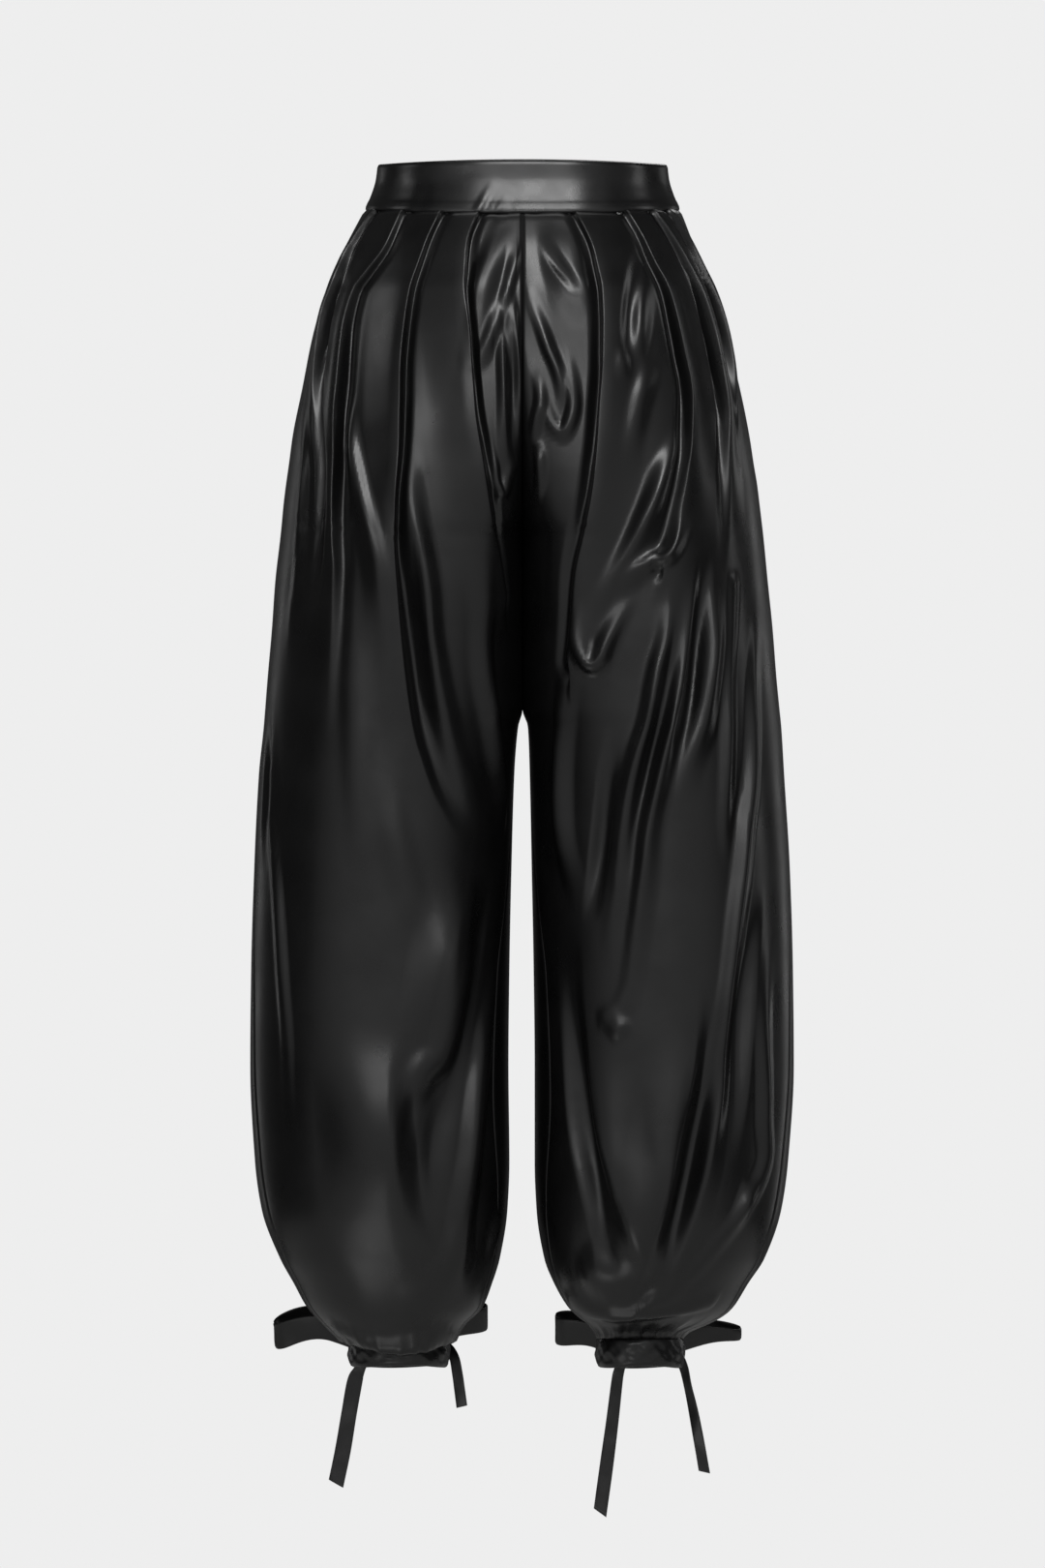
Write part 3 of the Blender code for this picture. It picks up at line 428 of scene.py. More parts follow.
# The gathered hem. On the left leg the cloth rolls over the ankle band; on the
# right leg it stops above it and its gathers show.
Hem = namedtuple("Hem", "run depth outer inner apex front back drop")
LEFT_HEM = [
    Hem(1002, 999, 171, 49, 108, 68, 68, 2),
    Hem(1015, 1009, 160, 55, 107, 58.5, 57, 6),
    Hem(1023, 1013, 155, 58, 106, 54, 52.5, 9),
    Hem(1029, 1010.5, 151.6, 60.8, 106, 50.6, 49.8, 7),
    Hem(1036, 1011.6, 148, 64, 106, 46.4, 46.4, 0),
]
RIGHT_HEM = [
    Hem(997, 991.5, 172, 47, 106, 72, 72, 0),
    Hem(1009, 997.5, 160, 55, 104, 62, 62, 0),
    Hem(1021, 1002, 148, 60, 102, 51, 51, 0),
    Hem(1028, 1006, 141, 62.4, 101, 44.5, 45, 0),
    Hem(1034, 1010.6, 138, 63.6, 101, 42, 42, 0),
]
FRONT_CURVE = 2.2           # how square the sections' corners are
INNER_CURVES = {42: 3.4, 330: 3.4, 400: 2.8, 480: 2.4, 560: 2.3, 1040: 2.3}
QUARTER_STEPS = 260

# Both seams swing forward on the legs, by these arc lengths.
SIDE_SEAM_SHIFT = {42.4: 0, 400: 8, 600: 20, 760: 36, 900: 42, 1040: 14}
INSEAM_SHIFT = {322: 0, 480: 0, 560: 20, 640: 44, 700: 60, 800: 66, 900: 50, 1040: 14}
CROTCH_RUN = 322.0
WAIST_SAG = 2.3             # the waist seam hangs lower in the middle
WAIST_SAG_END = 110.0
TOP_RUN = 42.4              # where the panels start, under the waistband

# %% Sections and legs
def leg_rows(side):
    """The whole table of one leg, from the waist seam to the ankle band."""
    outline = LEFT_OUTLINE if side == "left" else RIGHT_OUTLINE
    inner = LEFT_INNER if side == "left" else RIGHT_INNER
    rows = [Row(d.depth, d.depth, outline[d.depth], inner.get(d.depth, CLEFT), d.apex, d.front,
                d.front_seam, d.back_seam, d.back, 0.0) for d in BODY_DEPTHS]
    hem = LEFT_HEM if side == "left" else RIGHT_HEM
    rows += [Row(h.run, h.depth, h.outer, h.inner, h.apex, h.front, 0.0, 0.0, h.back, h.drop) for h in hem]
    return rows


class Section:
    """The curve of one half of a row, from the side seam to the inner seam."""

    def __init__(self, row, panel):
        t = np.linspace(0.0, math.pi / 2, QUARTER_STEPS)
        inner_curve = np.interp(row.run, list(INNER_CURVES), list(INNER_CURVES.values()))
        reach = row.front if panel == "front" else row.back
        seam = min(row.front_seam if panel == "front" else row.back_seam, reach)
        outer_x = row.apex + (row.outer - row.apex) * np.cos(t) ** (2 / FRONT_CURVE)
        outer_y = reach * np.sin(t) ** (2 / FRONT_CURVE)
        inner_x = row.inner + (row.apex - row.inner) * (1 - np.sin(t) ** (2 / inner_curve))
        inner_y = seam + (reach - seam) * np.cos(t) ** (2 / inner_curve)
        self.x = np.concatenate([outer_x, inner_x[1:]])
        forward = -1.0 if panel == "front" else 1.0
        self.y = forward * np.concatenate([outer_y, inner_y[1:]])
        self.arc = np.concatenate([[0.0], np.cumsum(np.hypot(np.diff(self.x), np.diff(self.y)))])
        self.length = self.arc[-1]


class Leg:
    """The smooth form of one leg and its half of the seat, without folds."""

    def __init__(self, side, runs):
        table = leg_rows(side)
        columns = {name: smooth([r.run for r in table], [getattr(r, name) for r in table], runs)
                   for name in Row._fields}
        self.side = side
        self.runs = np.asarray(runs, float)
        self.rows = [Row(*[columns[name][i] for name in Row._fields]) for i in range(len(runs))]
        self.front = [Section(row, "front") for row in self.rows]
        self.back = [Section(row, "back") for row in self.rows]
        shift = SIDE_SEAM_SHIFT
        self.side_shift = smooth(list(shift), list(shift.values()), self.runs)
        shift = INSEAM_SHIFT
        self.inner_shift = smooth(list(shift), list(shift.values()), self.runs)

    def ends(self, panel):
        """Arc lengths, from the side, where each row of a panel starts and ends."""
        half = SEAM_GAP / 2
        if panel == "front":
            length = np.array([s.length for s in self.front])
            return self.side_shift + half, length - self.inner_shift - half
        length = np.array([s.length for s in self.back])
        return -self.side_shift + half, length + self.inner_shift - half

    def curve(self, i, panel):
        """x, y and arc of row i, counted from the side seam towards the inner seam.

        A back row runs on into the front at the side and, below the crotch, at the inner seam.
        """
        front, back = self.front[i], self.back[i]
        if panel == "front":
            return front.x, front.y, front.arc
        x = np.concatenate([front.x[::-1], back.x[1:]])
        y = np.concatenate([front.y[::-1], back.y[1:]])
        arc = np.concatenate([-front.arc[::-1], back.arc[1:]])
        if self.rows[i].run < CROTCH_RUN:
            return x, y, arc
        past = back.length + (front.length - front.arc[::-1])
        return (np.concatenate([x, front.x[::-1][1:]]), np.concatenate([y, front.y[::-1][1:]]),
                np.concatenate([arc, past[1:]]))

    def points(self, panel, arcs):
        """Places on the smooth form for an array of arcs, one row for each run."""
        mirror = -1.0 if self.side == "left" else 1.0
        out = np.zeros(arcs.shape + (3,))
        for i, row in enumerate(self.rows):
            cx, cy, ca = self.curve(i, panel)
            x = np.interp(arcs[i], ca, cx)
            y = np.interp(arcs[i], ca, cy)
            toward_front = np.clip(-y / row.front, 0.0, 1.0) ** 2
            sag = WAIST_SAG * (1 - ease((row.run - TOP_RUN) / (WAIST_SAG_END - TOP_RUN)))
            depth = row.depth + row.drop * toward_front + sag * (1 - (x / row.outer) ** 2)
            out[i] = place(mirror * x, y, depth)
        return out

    def arc_of(self, panel, x, run):
        """The arc at which a row, at this run, shows the given x."""
        i = np.interp(run, self.runs, np.arange(len(self.runs)))
        low, high = int(math.floor(i)), int(math.ceil(i))
        found = []
        for k in (low, high):
            section = self.front[k] if panel == "front" else self.back[k]
            found.append(np.interp(x, section.x[::-1], section.arc[::-1]))
        return found[0] + (found[1] - found[0]) * (i - low)


print("rows in the left and right leg's tables:", len(leg_rows("left")), len(leg_rows("right")))

# %% [markdown]
# ## Folds
# A fold is a bump along a line on a panel. Knife pleats have a steep side that faces the centre and a
# long gentle side, and their edge hangs over the hollow beside it. The soft ridges and hollows lower
# down are round. Every line was read from the photo, in millimetres, and the hidden back has
# similar ones.

# %% Folds of the left front
# groove: width of the hollow beside a knife pleat's edge, 0 for a plain ridge or hollow;
# step, spread: widths of the fold towards the centre and towards the side;
# crisp: 0 for a round crest, 1 for a sharp one;
# the height goes from start to peak, at the share peak_at of its length, and on to end.
Fold = namedtuple("Fold", "name groove step spread crisp start peak peak_at end line")
FRONT_LEFT_FOLDS = [
    Fold("pleat_1", 8, 3, 36, 0.8, 3, 10, 0.45, 5, [(40, 38), (47, 62), (51, 91), (52, 112), (49, 145),
         (47, 174), (44, 212), (39, 245), (34, 278), (29, 315), (24, 340), (18, 375)]),
    Fold("pleat_2", 10, 3, 34, 0.8, 3, 10.5, 0.4, 0, [(72, 38), (80, 62), (89, 87), (97, 112),
         (102, 145), (105, 178), (106, 212), (107, 245), (111, 295), (112, 328), (110, 361), (106, 403),
         (101, 444), (95, 494), (86, 519), (78, 552), (67, 577)]),
    Fold("pleat_3", 15, 3, 30, 0.8, 3, 10, 0.4, 0, [(105, 38), (112, 62), (120, 79), (135, 100),
         (143, 112), (150, 137), (153, 162), (155, 187), (157, 212), (158, 237), (160, 278), (161, 328),
         (161, 361), (166, 444), (172, 510)]),
    Fold("pleat_4", 10, 3, 26, 0.8, 3, 9, 0.4, 0, [(127, 38), (140, 62), (150, 81), (158, 104),
         (166, 129), (172, 162), (176, 195), (178, 237), (181, 300)]),
    Fold("fork_2", 0, 12, 16, 0.8, 0, 9, 0.3, 0, [(106, 228), (100, 253), (96, 286), (89, 328),
         (83, 361), (80, 403), (75, 436), (68, 469), (59, 502), (46, 535), (34, 569), (21, 589)]),
    Fold("fork_3", 0, 8, 14, 0.9, 0, 8, 0.35, 0, [(153, 187), (151, 212), (146, 245), (137, 286),
         (129, 320), (123, 353), (121, 394), (119, 444)]),
    Fold("trough_2", 0, 11, 11, 0, 0, -11, 0.5, 0, [(97, 300), (96, 361), (90, 430), (80, 490),
         (62, 545), (40, 585)]),
    Fold("sheen_band", 0, 18, 10, 0, 0.7, 6, 0.5, 1, [(16, 52), (26, 78), (35, 104), (40, 145),
         (43, 172)]),
    Fold("v_left", 0, 6, 7, 0.6, 0.7, 4.7, 0.5, 0, [(14, 112), (18, 122), (25, 145), (32, 165),
         (38, 182)]),
    Fold("v_right", 0, 3.5, 6, 0.5, 0.7, 4.1, 0.4, 0.7, [(12, 112), (8, 135), (5, 160), (3.5, 185),
         (3.5, 205)]),
    Fold("v_top", 0, 4, 6, 0.5, 0, 3.4, 0.6, 2, [(2.5, 62), (6, 85), (11, 105), (14, 116)]),
    Fold("near_seam", 0, 5, 6, 0.5, 0.7, 4.7, 0.5, 1.4, [(16, 120), (16, 150), (15, 185), (15, 215),
         (15, 245), (11, 264)]),
    Fold("near_seam_hollow", 0, 5, 5, 0, 0, -4.1, 0.5, 0, [(11, 130), (10, 165), (9, 205), (8, 240),
         (9, 258)]),
    Fold("pucker", 0, 5, 6, 0.6, 0, 5.4, 0.6, 1.4, [(30, 240), (26, 262), (24, 278), (17, 284),
         (12, 270), (7, 262)]),
    Fold("knee_hollow", 0, 24, 30, 0, 0, -6, 0.6, -1.4, [(42, 640), (50, 700), (58, 770), (76, 830),
         (84, 890), (80, 935)]),
    Fold("inner_dark", 0, 16, 20, 0, 0, -4, 0.5, 0, [(24, 590), (36, 640), (48, 690), (56, 740),
         (66, 780)]),
    Fold("knee_ridge", 0, 14, 12, 0.2, 0, 9, 0.5, 0.7, [(17, 676), (25, 710), (31, 743), (34, 768),
         (38, 793), (42, 826), (48, 876), (54, 925), (62, 950), (76, 967), (92, 980)]),
    Fold("knee_kink", 0, 13, 20, 0.2, 0, 7, 0.5, 0, [(46, 652), (52, 693), (59, 735), (67, 768),
         (83, 784), (96, 801), (117, 811)]),
    Fold("pocket_edge", 0, 24, 60, 0, 0, 12, 0.45, 0, [(120, 740), (119, 815), (115, 859), (109, 901),
         (95, 934), (84, 955)]),
    Fold("side_ridge", 0, 7, 9, 0.5, 0, 4.7, 0.5, 0, [(214, 440), (214, 527), (214, 569), (212, 593),
         (208, 652), (205, 710), (202, 759), (200, 818), (195, 859)]),
    Fold("side_hollow", 0, 7, 7, 0, 0, -4.1, 0.4, 0, [(217, 470), (219, 527), (221, 569), (219, 620)]),
    Fold("lower_inner", 0, 6, 8, 0.4, 0, 4.7, 0.5, 0, [(12, 872), (21, 909), (27, 934), (31, 967)]),
    Fold("lobe_edge", 0, 9, 16, 0.7, 0, 8, 0.7, 0, [(35, 295), (32, 370), (31, 440), (23, 510),
         (17, 550), (18, 576), (24, 588)]),
    Fold("side_trough", 0, 8, 8, 0, 0, -8, 0.4, 0, [(175, 195), (171, 245), (171, 295), (175, 344),
         (181, 394)]),
    Fold("side_line", 0, 6, 8, 0.7, 0, 5, 0.4, 0, [(183, 195), (185, 253), (189, 311), (193, 361),
         (198, 394), (202, 444)]),
    Fold("soft_a", 0, 18, 16, 0, 0, 3, 0.5, 0, [(140, 328), (143, 444), (137, 569), (129, 652)]),
    Fold("soft_b", 0, 16, 16, 0, 0, 3, 0.5, 0, [(116, 494), (112, 569), (96, 635), (83, 676)]),
    Fold("inner_step", 0, 26, 44, 0, 0, 12, 0.5, 0, [(40, 603), (47, 627), (53, 660), (58, 693),
         (63, 726), (67, 759), (73, 774)]),
    Fold("lip", 0, 6, 8, 0.3, 2, 4.5, 0.5, 2, [(158, 1004), (140, 1012), (112, 1020), (90, 1016),
         (65, 1006)]),
    Fold("pocket_facet", 0, 12, 12, 0.1, 0, 2.5, 0.5, 0, [(66, 786), (82, 812), (90, 845), (88, 885),
         (84, 905)]),
]
print("folds on the left front:", len(FRONT_LEFT_FOLDS))

# %% Folds of the right front
FRONT_RIGHT_FOLDS = [
    Fold("pleat_1", 12, 3, 36, 0.8, 3, 10.5, 0.45, 6, [(47, 38), (60, 71), (66, 95), (70, 120),
         (71, 154), (71, 178), (69, 212), (66, 253), (62, 286), (56, 320), (49, 353), (46, 394),
         (43, 430)]),
    Fold("pleat_2", 10, 3, 34, 0.8, 3, 10, 0.45, 4, [(90, 38), (103, 66), (112, 87), (124, 112),
         (132, 145), (137, 170), (142, 195), (143, 220), (142, 253), (139, 278), (135, 303), (131, 328),
         (124, 345)]),
    Fold("pleat_3", 9, 3, 26, 0.8, 3, 10, 0.4, 0, [(112, 38), (128, 66), (139, 87), (150, 112),
         (159, 145), (166, 178), (172, 212), (174, 253), (176, 361)]),
    Fold("pleat_4", 8, 3, 22, 0.8, 3, 9, 0.45, 0, [(125, 38), (142, 71), (156, 104), (167, 137),
         (175, 170), (182, 212), (187, 265)]),
    Fold("sheen_dome", 0, 20, 22, 0, 1.4, 5.4, 0.5, 0, [(34, 50), (38, 85), (44, 120), (50, 150)]),
    Fold("sheen_hollow", 0, 6, 7, 0.2, 0, -3.4, 0.5, 0, [(18, 68), (28, 86), (40, 104), (51, 120)]),
    Fold("loop_crease", 0, 5, 7, 0.7, 0.7, 5.4, 0.5, 0, [(5, 116), (10, 130), (16, 145), (22, 162),
         (29, 178), (34, 198), (34, 222)]),
    Fold("loop_crease_back", 0, 5, 6, 0.6, 0, 4.7, 0.5, 0, [(30, 150), (38, 172), (43, 195), (43, 215),
         (36, 232), (26, 226), (18, 205), (12, 184)]),
    Fold("seam_pucker", 0, 4, 5, 0.6, 0, 4.1, 0.6, 0.7, [(7, 176), (13, 190), (15, 206), (12, 222),
         (8, 236), (4, 238)]),
    Fold("low_pucker", 0, 4, 5, 0.4, 0, 4.1, 0.3, 0, [(8, 238), (14, 250), (15, 272), (12, 290),
         (10, 300)]),
    Fold("diamond_hollow", 0, 6, 6, 0.2, 0, -3, 0.6, 0, [(106, 72), (99, 92), (93, 120), (90, 150),
         (91, 178)]),
    Fold("diamond_ridge", 0, 8, 9, 0.5, 0, 3.5, 0.6, 0, [(108, 95), (104, 120), (101, 146), (98, 172),
         (96, 180)]),
    Fold("diamond_tail", 0, 8, 10, 0.5, 0, 4, 0.35, 0, [(109, 163), (108, 180), (101, 205), (96, 232),
         (92, 270)]),
    Fold("diamond_inner", 0, 5, 6, 0.5, 0, 2, 0.5, 0, [(88, 158), (85, 176), (86, 192)]),
    Fold("fork_2", 0, 10, 14, 0.8, 0, 10, 0.4, 0.7, [(141, 228), (132, 245), (120, 270), (107, 303),
         (91, 336), (74, 369), (65, 400)]),
    Fold("loop_low", 0, 7, 10, 0.8, 0, 9, 0.5, 0, [(52, 372), (49, 403), (52, 420), (60, 433), (68, 428),
         (74, 412), (83, 392), (96, 365)]),
    Fold("arch", 0, 7, 9, 0.8, 0, 8, 0.5, 0, [(139, 295), (132, 320), (124, 336), (112, 342), (100, 350),
         (91, 361), (83, 378)]),
    Fold("ridge_a", 0, 9, 12, 0.8, 0, 9.5, 0.35, 0, [(127, 345), (124, 403), (116, 436), (109, 477),
         (99, 510), (91, 544), (85, 585), (81, 627), (76, 660), (76, 701)]),
    Fold("trough_ab", 0, 7, 8, 0, 0, -8, 0.5, 0, [(134, 390), (125, 450), (112, 510), (100, 570),
         (92, 630)]),
    Fold("ridge_b", 0, 9, 13, 0.8, 0, 10.5, 0.35, 1.4, [(149, 361), (141, 403), (134, 444), (124, 494),
         (116, 527), (107, 569), (104, 610), (99, 652), (95, 685), (91, 710), (83, 726), (72, 735)]),
    Fold("kink_patch", 0, 11, 11, 0.2, 0.7, 3.5, 0.6, 0, [(74, 734), (82, 744), (90, 752)]),
    Fold("ridge_c", 0, 10, 14, 0.8, 0, 8, 0.35, 0, [(168, 361), (163, 427), (156, 477), (142, 519),
         (132, 569)]),
    Fold("ridge_d", 0, 6, 8, 0.8, 2, 6, 0.5, 0, [(181, 361), (176, 444), (175, 527), (174, 569),
         (176, 593), (180, 614)]),
    Fold("ridge_e", 0, 8, 14, 0.8, 0, 9, 0.35, 0.7, [(200, 361), (197, 444), (195, 527), (190, 569),
         (186, 614), (182, 652), (176, 710), (172, 743), (167, 776), (164, 818), (159, 859), (151, 892),
         (145, 917), (135, 942), (124, 959), (103, 982)]),
    Fold("calf_hollow_a", 0, 15, 12, 0.1, 0, -14, 0.55, -3, [(40, 650), (43, 735), (50, 818), (66, 884),
         (83, 934), (99, 976)]),
    Fold("calf_hollow_b", 0, 12, 14, 0.1, 0, -14, 0.6, -3, [(165, 700), (161, 776), (145, 859),
         (126, 925), (111, 967)]),
    Fold("side_hollow", 0, 14, 13, 0, 0, -9, 0.5, 0, [(200, 610), (192, 690), (186, 760), (180, 820),
         (170, 870)]),
    Fold("calf_ridge", 0, 10, 12, 0.5, 0, 6.8, 0.5, 0.7, [(212, 650), (207, 740), (207, 818), (208, 855),
         (198, 884), (186, 905), (165, 932), (145, 955), (124, 974), (106, 984)]),
    Fold("calf_kink", 0, 7, 9, 0.5, 0, 4.7, 0.5, 0, [(196, 868), (190, 890), (184, 908), (184, 916)]),
    Fold("trough_bc", 0, 7, 7, 0, 0, -8, 0.4, 0, [(158, 330), (156, 361), (151, 411), (144, 461),
         (134, 502), (126, 544)]),
    Fold("lobe_edge", 0, 9, 16, 0.7, 0, 8, 0.6, 0, [(44, 394), (37, 444), (33, 494), (32, 544),
         (34, 585), (42, 622), (52, 647)]),
    Fold("lobe_trough", 0, 8, 8, 0, 0, -7, 0.6, 0, [(83, 477), (74, 527), (68, 577), (62, 627),
         (56, 660)]),
    Fold("dome", 0, 13, 13, 0, 0, 6, 0.5, 0, [(54, 925), (60, 945), (72, 962), (86, 976)]),
    Fold("wedge_left", 0, 20, 34, 0, 0, 10, 0.6, 2, [(59, 743), (68, 801), (76, 859), (87, 917),
         (95, 959), (102, 982)]),
    Fold("wedge_right", 0, 34, 14, 0, 0, 9, 0.6, 2, [(145, 743), (132, 801), (124, 859), (112, 925),
         (103, 975)]),
    Fold("lip", 0, 7, 9, 0.3, 2, 4.5, 0.5, 2, [(41, 978), (60, 990), (95, 996), (133, 990), (160, 980)]),
]
print("folds on the right front:", len(FRONT_RIGHT_FOLDS))

# %% [markdown]
# Nothing of the back shows in the photo. It gets knife pleats like the front's, a seat fold, a bend behind
# the knee and a few long soft ridges, as trousers of this cut have.

# %% Folds of the two backs
BACK_FOLDS = [
    Fold("pleat_1", 10, 3, 34, 0.8, 3, 10, 0.4, 0, [(36, 38), (45, 66), (50, 95), (54, 145), (56, 210),
         (54, 270), (51, 320), (47, 355)]),
    Fold("pleat_2", 11, 3, 34, 0.8, 3, 10.5, 0.35, 0, [(69, 38), (81, 66), (90, 95), (99, 145),
         (106, 212), (109, 300), (106, 400), (98, 470)]),
    Fold("pleat_3", 11, 3, 28, 0.8, 3, 10, 0.4, 0, [(101, 38), (113, 66), (125, 95), (138, 145),
         (148, 212), (154, 300), (157, 390), (156, 430)]),
    Fold("pleat_4", 9, 3, 24, 0.8, 3, 9, 0.45, 0, [(124, 38), (140, 66), (153, 95), (165, 145),
         (174, 200), (180, 270)]),
    Fold("seat_ridge", 0, 10, 16, 0.5, 0, 8.8, 0.5, 0, [(30, 330), (46, 390), (60, 460), (70, 540),
         (76, 620)]),
    Fold("thigh_ridge", 0, 10, 18, 0.5, 0, 9.5, 0.5, 0, [(150, 390), (142, 480), (128, 570), (116, 660),
         (110, 740)]),
    Fold("thigh_ridge_2", 0, 8, 12, 0.5, 0, 6.8, 0.5, 0, [(120, 340), (112, 420), (98, 500), (84, 580),
         (80, 650)]),
    Fold("knee_hollow", 0, 20, 26, 0, 0, -10.8, 0.5, -1.4, [(92, 640), (84, 720), (90, 800), (98, 880),
         (103, 950)]),
    Fold("knee_crease", 0, 8, 12, 0.4, 0, 6.1, 0.5, 0, [(58, 690), (78, 712), (104, 720), (130, 706)]),
    Fold("calf_ridge", 0, 10, 18, 0.5, 0, 8.1, 0.5, 0.7, [(170, 640), (164, 740), (152, 830), (134, 910),
         (116, 965)]),
    Fold("calf_ridge_2", 0, 8, 12, 0.5, 0, 6.8, 0.5, 0.7, [(40, 700), (48, 790), (62, 870), (82, 930),
         (94, 968)]),
]
# The right back has the same folds, each moved a little across and down (mm), with its own share of
# the height and of the length, because no two legs hang alike.
BACK_RIGHT_CHANGES = {
    "pleat_1": (0, 0, 1.0, 1.14), "pleat_2": (0, 0, 0.95, 0.90), "pleat_3": (0, 0, 1.0, 1.10),
    "pleat_4": (0, 0, 1.1, 1.12), "seat_ridge": (6, 20, 0.85, 1.0), "thigh_ridge": (-8, -30, 1.1, 0.9),
    "thigh_ridge_2": (8, 44, 0.8, 1.1), "knee_hollow": (6, 12, 0.9, 1.0),
    "knee_crease": (0, -36, 0.75, 1.0), "calf_ridge": (-8, 10, 0.9, 0.95),
    "calf_ridge_2": (10, -22, 1.2, 0.98),
}


def moved(fold, across, down, height, length):
    """Each point of the line = (x + across, top + (run - top) * length + down); peak = peak * height."""
    top = fold.line[0][1]
    line = [(x + across, top + (run - top) * length + down) for x, run in fold.line]
    return fold._replace(peak=fold.peak * height, line=line)


BACK_RIGHT_FOLDS = [moved(fold, *BACK_RIGHT_CHANGES[fold.name]) for fold in BACK_FOLDS]
FOLDS = {("left", "front"): FRONT_LEFT_FOLDS, ("right", "front"): FRONT_RIGHT_FOLDS,
         ("left", "back"): BACK_FOLDS, ("right", "back"): BACK_RIGHT_FOLDS}
PLEAT_LINES = ["pleat_4", "pleat_3", "pleat_2", "pleat_1"]      # from the side inwards
print("folds on the four panels:", [len(folds) for folds in FOLDS.values()])

# %% [markdown]
# A fold's cross-section is worked out for the whole panel at once. A point's distance to the fold's line
# gives its share of the width on that side, and from that its height. A knife pleat also gets a hollow
# under its edge, and moves the edge sideways over it, as folded cloth does.

# %% Height of a fold
PLEAT_ROUND = 0.9           # radius of a pleat's edge, in millimetres
RIDGE_ROUND = 3.0           # and of a ridge's crest
SOFT_ROUND = 3.0            # a pleat's lower end is this much rounder, and less steep
SOFT_STEP = 6.0
SOFT_FROM = 0.4             # share of a pleat's length where it starts to soften
HANG_OVER = 3.2             # how far a full pleat's edge moves over its hollow
HANG_WIDTH = 2.6
GROOVE = 0.60               # how deep the hollow beside a pleat's edge is, as a share of its height
LINE_STEPS = 6


def fold_shape(fold, leg, panel, arcs, runs):
    """Lift = height(share) * profile(distance / width); shift = overhang * height / peak near the crest.

    The profile mixes 1 - ease(u), which is round, with (1 - u)^1.5, which is sharp.
    """
    line = curve_through([(leg.arc_of(panel, x, run), run) for x, run in fold.line], LINE_STEPS)
    signed, share = along_line(arcs, runs, line)
    rise = fold.start + (fold.peak - fold.start) * ease(share / fold.peak_at)
    fall = fold.peak + (fold.end - fold.peak) * ease((share - fold.peak_at) / (1 - fold.peak_at))
    height = np.where(share < fold.peak_at, rise, fall)
    soft = ease((share - SOFT_FROM) / (1 - SOFT_FROM)) if fold.groove else 0.0
    width = np.where(signed > 0, fold.step + SOFT_STEP * soft, fold.spread)
    crest = PLEAT_ROUND + SOFT_ROUND * soft if fold.groove else RIDGE_ROUND
    softened = np.sqrt(signed ** 2 + crest ** 2) - crest
    u = np.clip(softened / width, 0.0, 1.0)
    crisp = np.where(signed > 0, 0.0, fold.crisp) if fold.groove else fold.crisp
    lift = height * ((1 - crisp) * (1 - ease(u)) + crisp * (1 - u) ** 1.5)
    if not fold.groove:
        return lift, np.zeros(arcs.shape)
    hollow = ease(signed / width) * (1 - ease((signed - width) / fold.groove))
    shift = HANG_OVER * (1 - soft) * height / fold.peak * np.exp(-(signed / HANG_WIDTH) ** 2)
    return lift - GROOVE * height * hollow, shift


print("a pleat's edge has a radius of", PLEAT_ROUND, "mm and hangs over by up to", HANG_OVER, "mm")

# %% [markdown]
# ## Panels
# The columns of each panel's grid follow the four pleat lines and crowd round their edges, where the
# cloth turns sharply. The hem is gathered by many small uneven waves that start at different heights.

# %% Grid of a panel
PANEL_ROWS = 244
INTERVAL_COLUMNS = [15, 15, 18, 24, 71]    # even columns between two pleats' edges
AFTER_CREST = [0.5, 1.0, 1.5, 2.1, 2.8, 3.7, 5.0, 7.0]  # from an edge towards the centre
BEFORE_CREST = [6.0, 3.2, 1.4, 0.6]     # and from the side, up to the next edge
CROWD_WITHIN = 26.0         # intervals narrower than this squeeze the crowded columns
COLUMN_GAP = 0.02           # edges keep this share of the panel's width apart
EVEN_SPACES = 6.4           # at the hem the edges are spaced as for so many pleats
EVEN_FROM_END = 20.0


def panel_arcs(leg, panel, folds):
    """Each pleat's edge is a column, at its share of the row.

    Past an edge the columns are crowded, then even, and they crowd again before the next edge.
    """
    start, end = leg.ends(panel)
    lines = {fold.name: fold.line for fold in folds}
    share = []
    for k, name in enumerate(PLEAT_LINES):
        line = curve_through(lines[name], LINE_STEPS)
        arc = np.array([leg.arc_of(panel, x, run) for x, run in line])
        part = (arc - np.interp(line[:, 1], leg.runs, start)) / np.interp(line[:, 1], leg.runs, end - start)
        known = np.append(line[:, 1], leg.runs[-1] - EVEN_FROM_END)
        share.append(np.interp(leg.runs, known, np.append(part, (k + 1) / EVEN_SPACES)))
    order = COLUMN_GAP * np.arange(len(share))[:, None]
    share = np.maximum.accumulate(np.array(share) + order, axis=0) - order
    edges = [start] + [start + s * (end - start) for s in share] + [end]
    columns = []
    for k, count in enumerate(INTERVAL_COLUMNS):
        low, high = edges[k], edges[k + 1]
        squeeze = np.minimum(1.0, (high - low) / CROWD_WITHIN)
        after = AFTER_CREST if k else []
        before = BEFORE_CREST if k + 1 < len(INTERVAL_COLUMNS) else []
        columns += [low] + [low + step * squeeze for step in after]
        left = columns[-1]
        right = high - before[0] * squeeze if before else high
        columns += [left + (right - left) * n / (count + 1) for n in range(1, count + 1)]
        columns += [high - step * squeeze for step in before]
    return np.stack(columns + [end], axis=1)


print("even columns between the pleats:", INTERVAL_COLUMNS, "with crowded ones at each edge")

# %% [markdown]
# A row of stitches pulls each hem together, so its gathers are narrow, close and uneven. Each gets its own
# height, width and length from multiples of the golden ratio, which never fall into a pattern. Near a
# seam the folds die out, and the seam itself lies in a small valley.

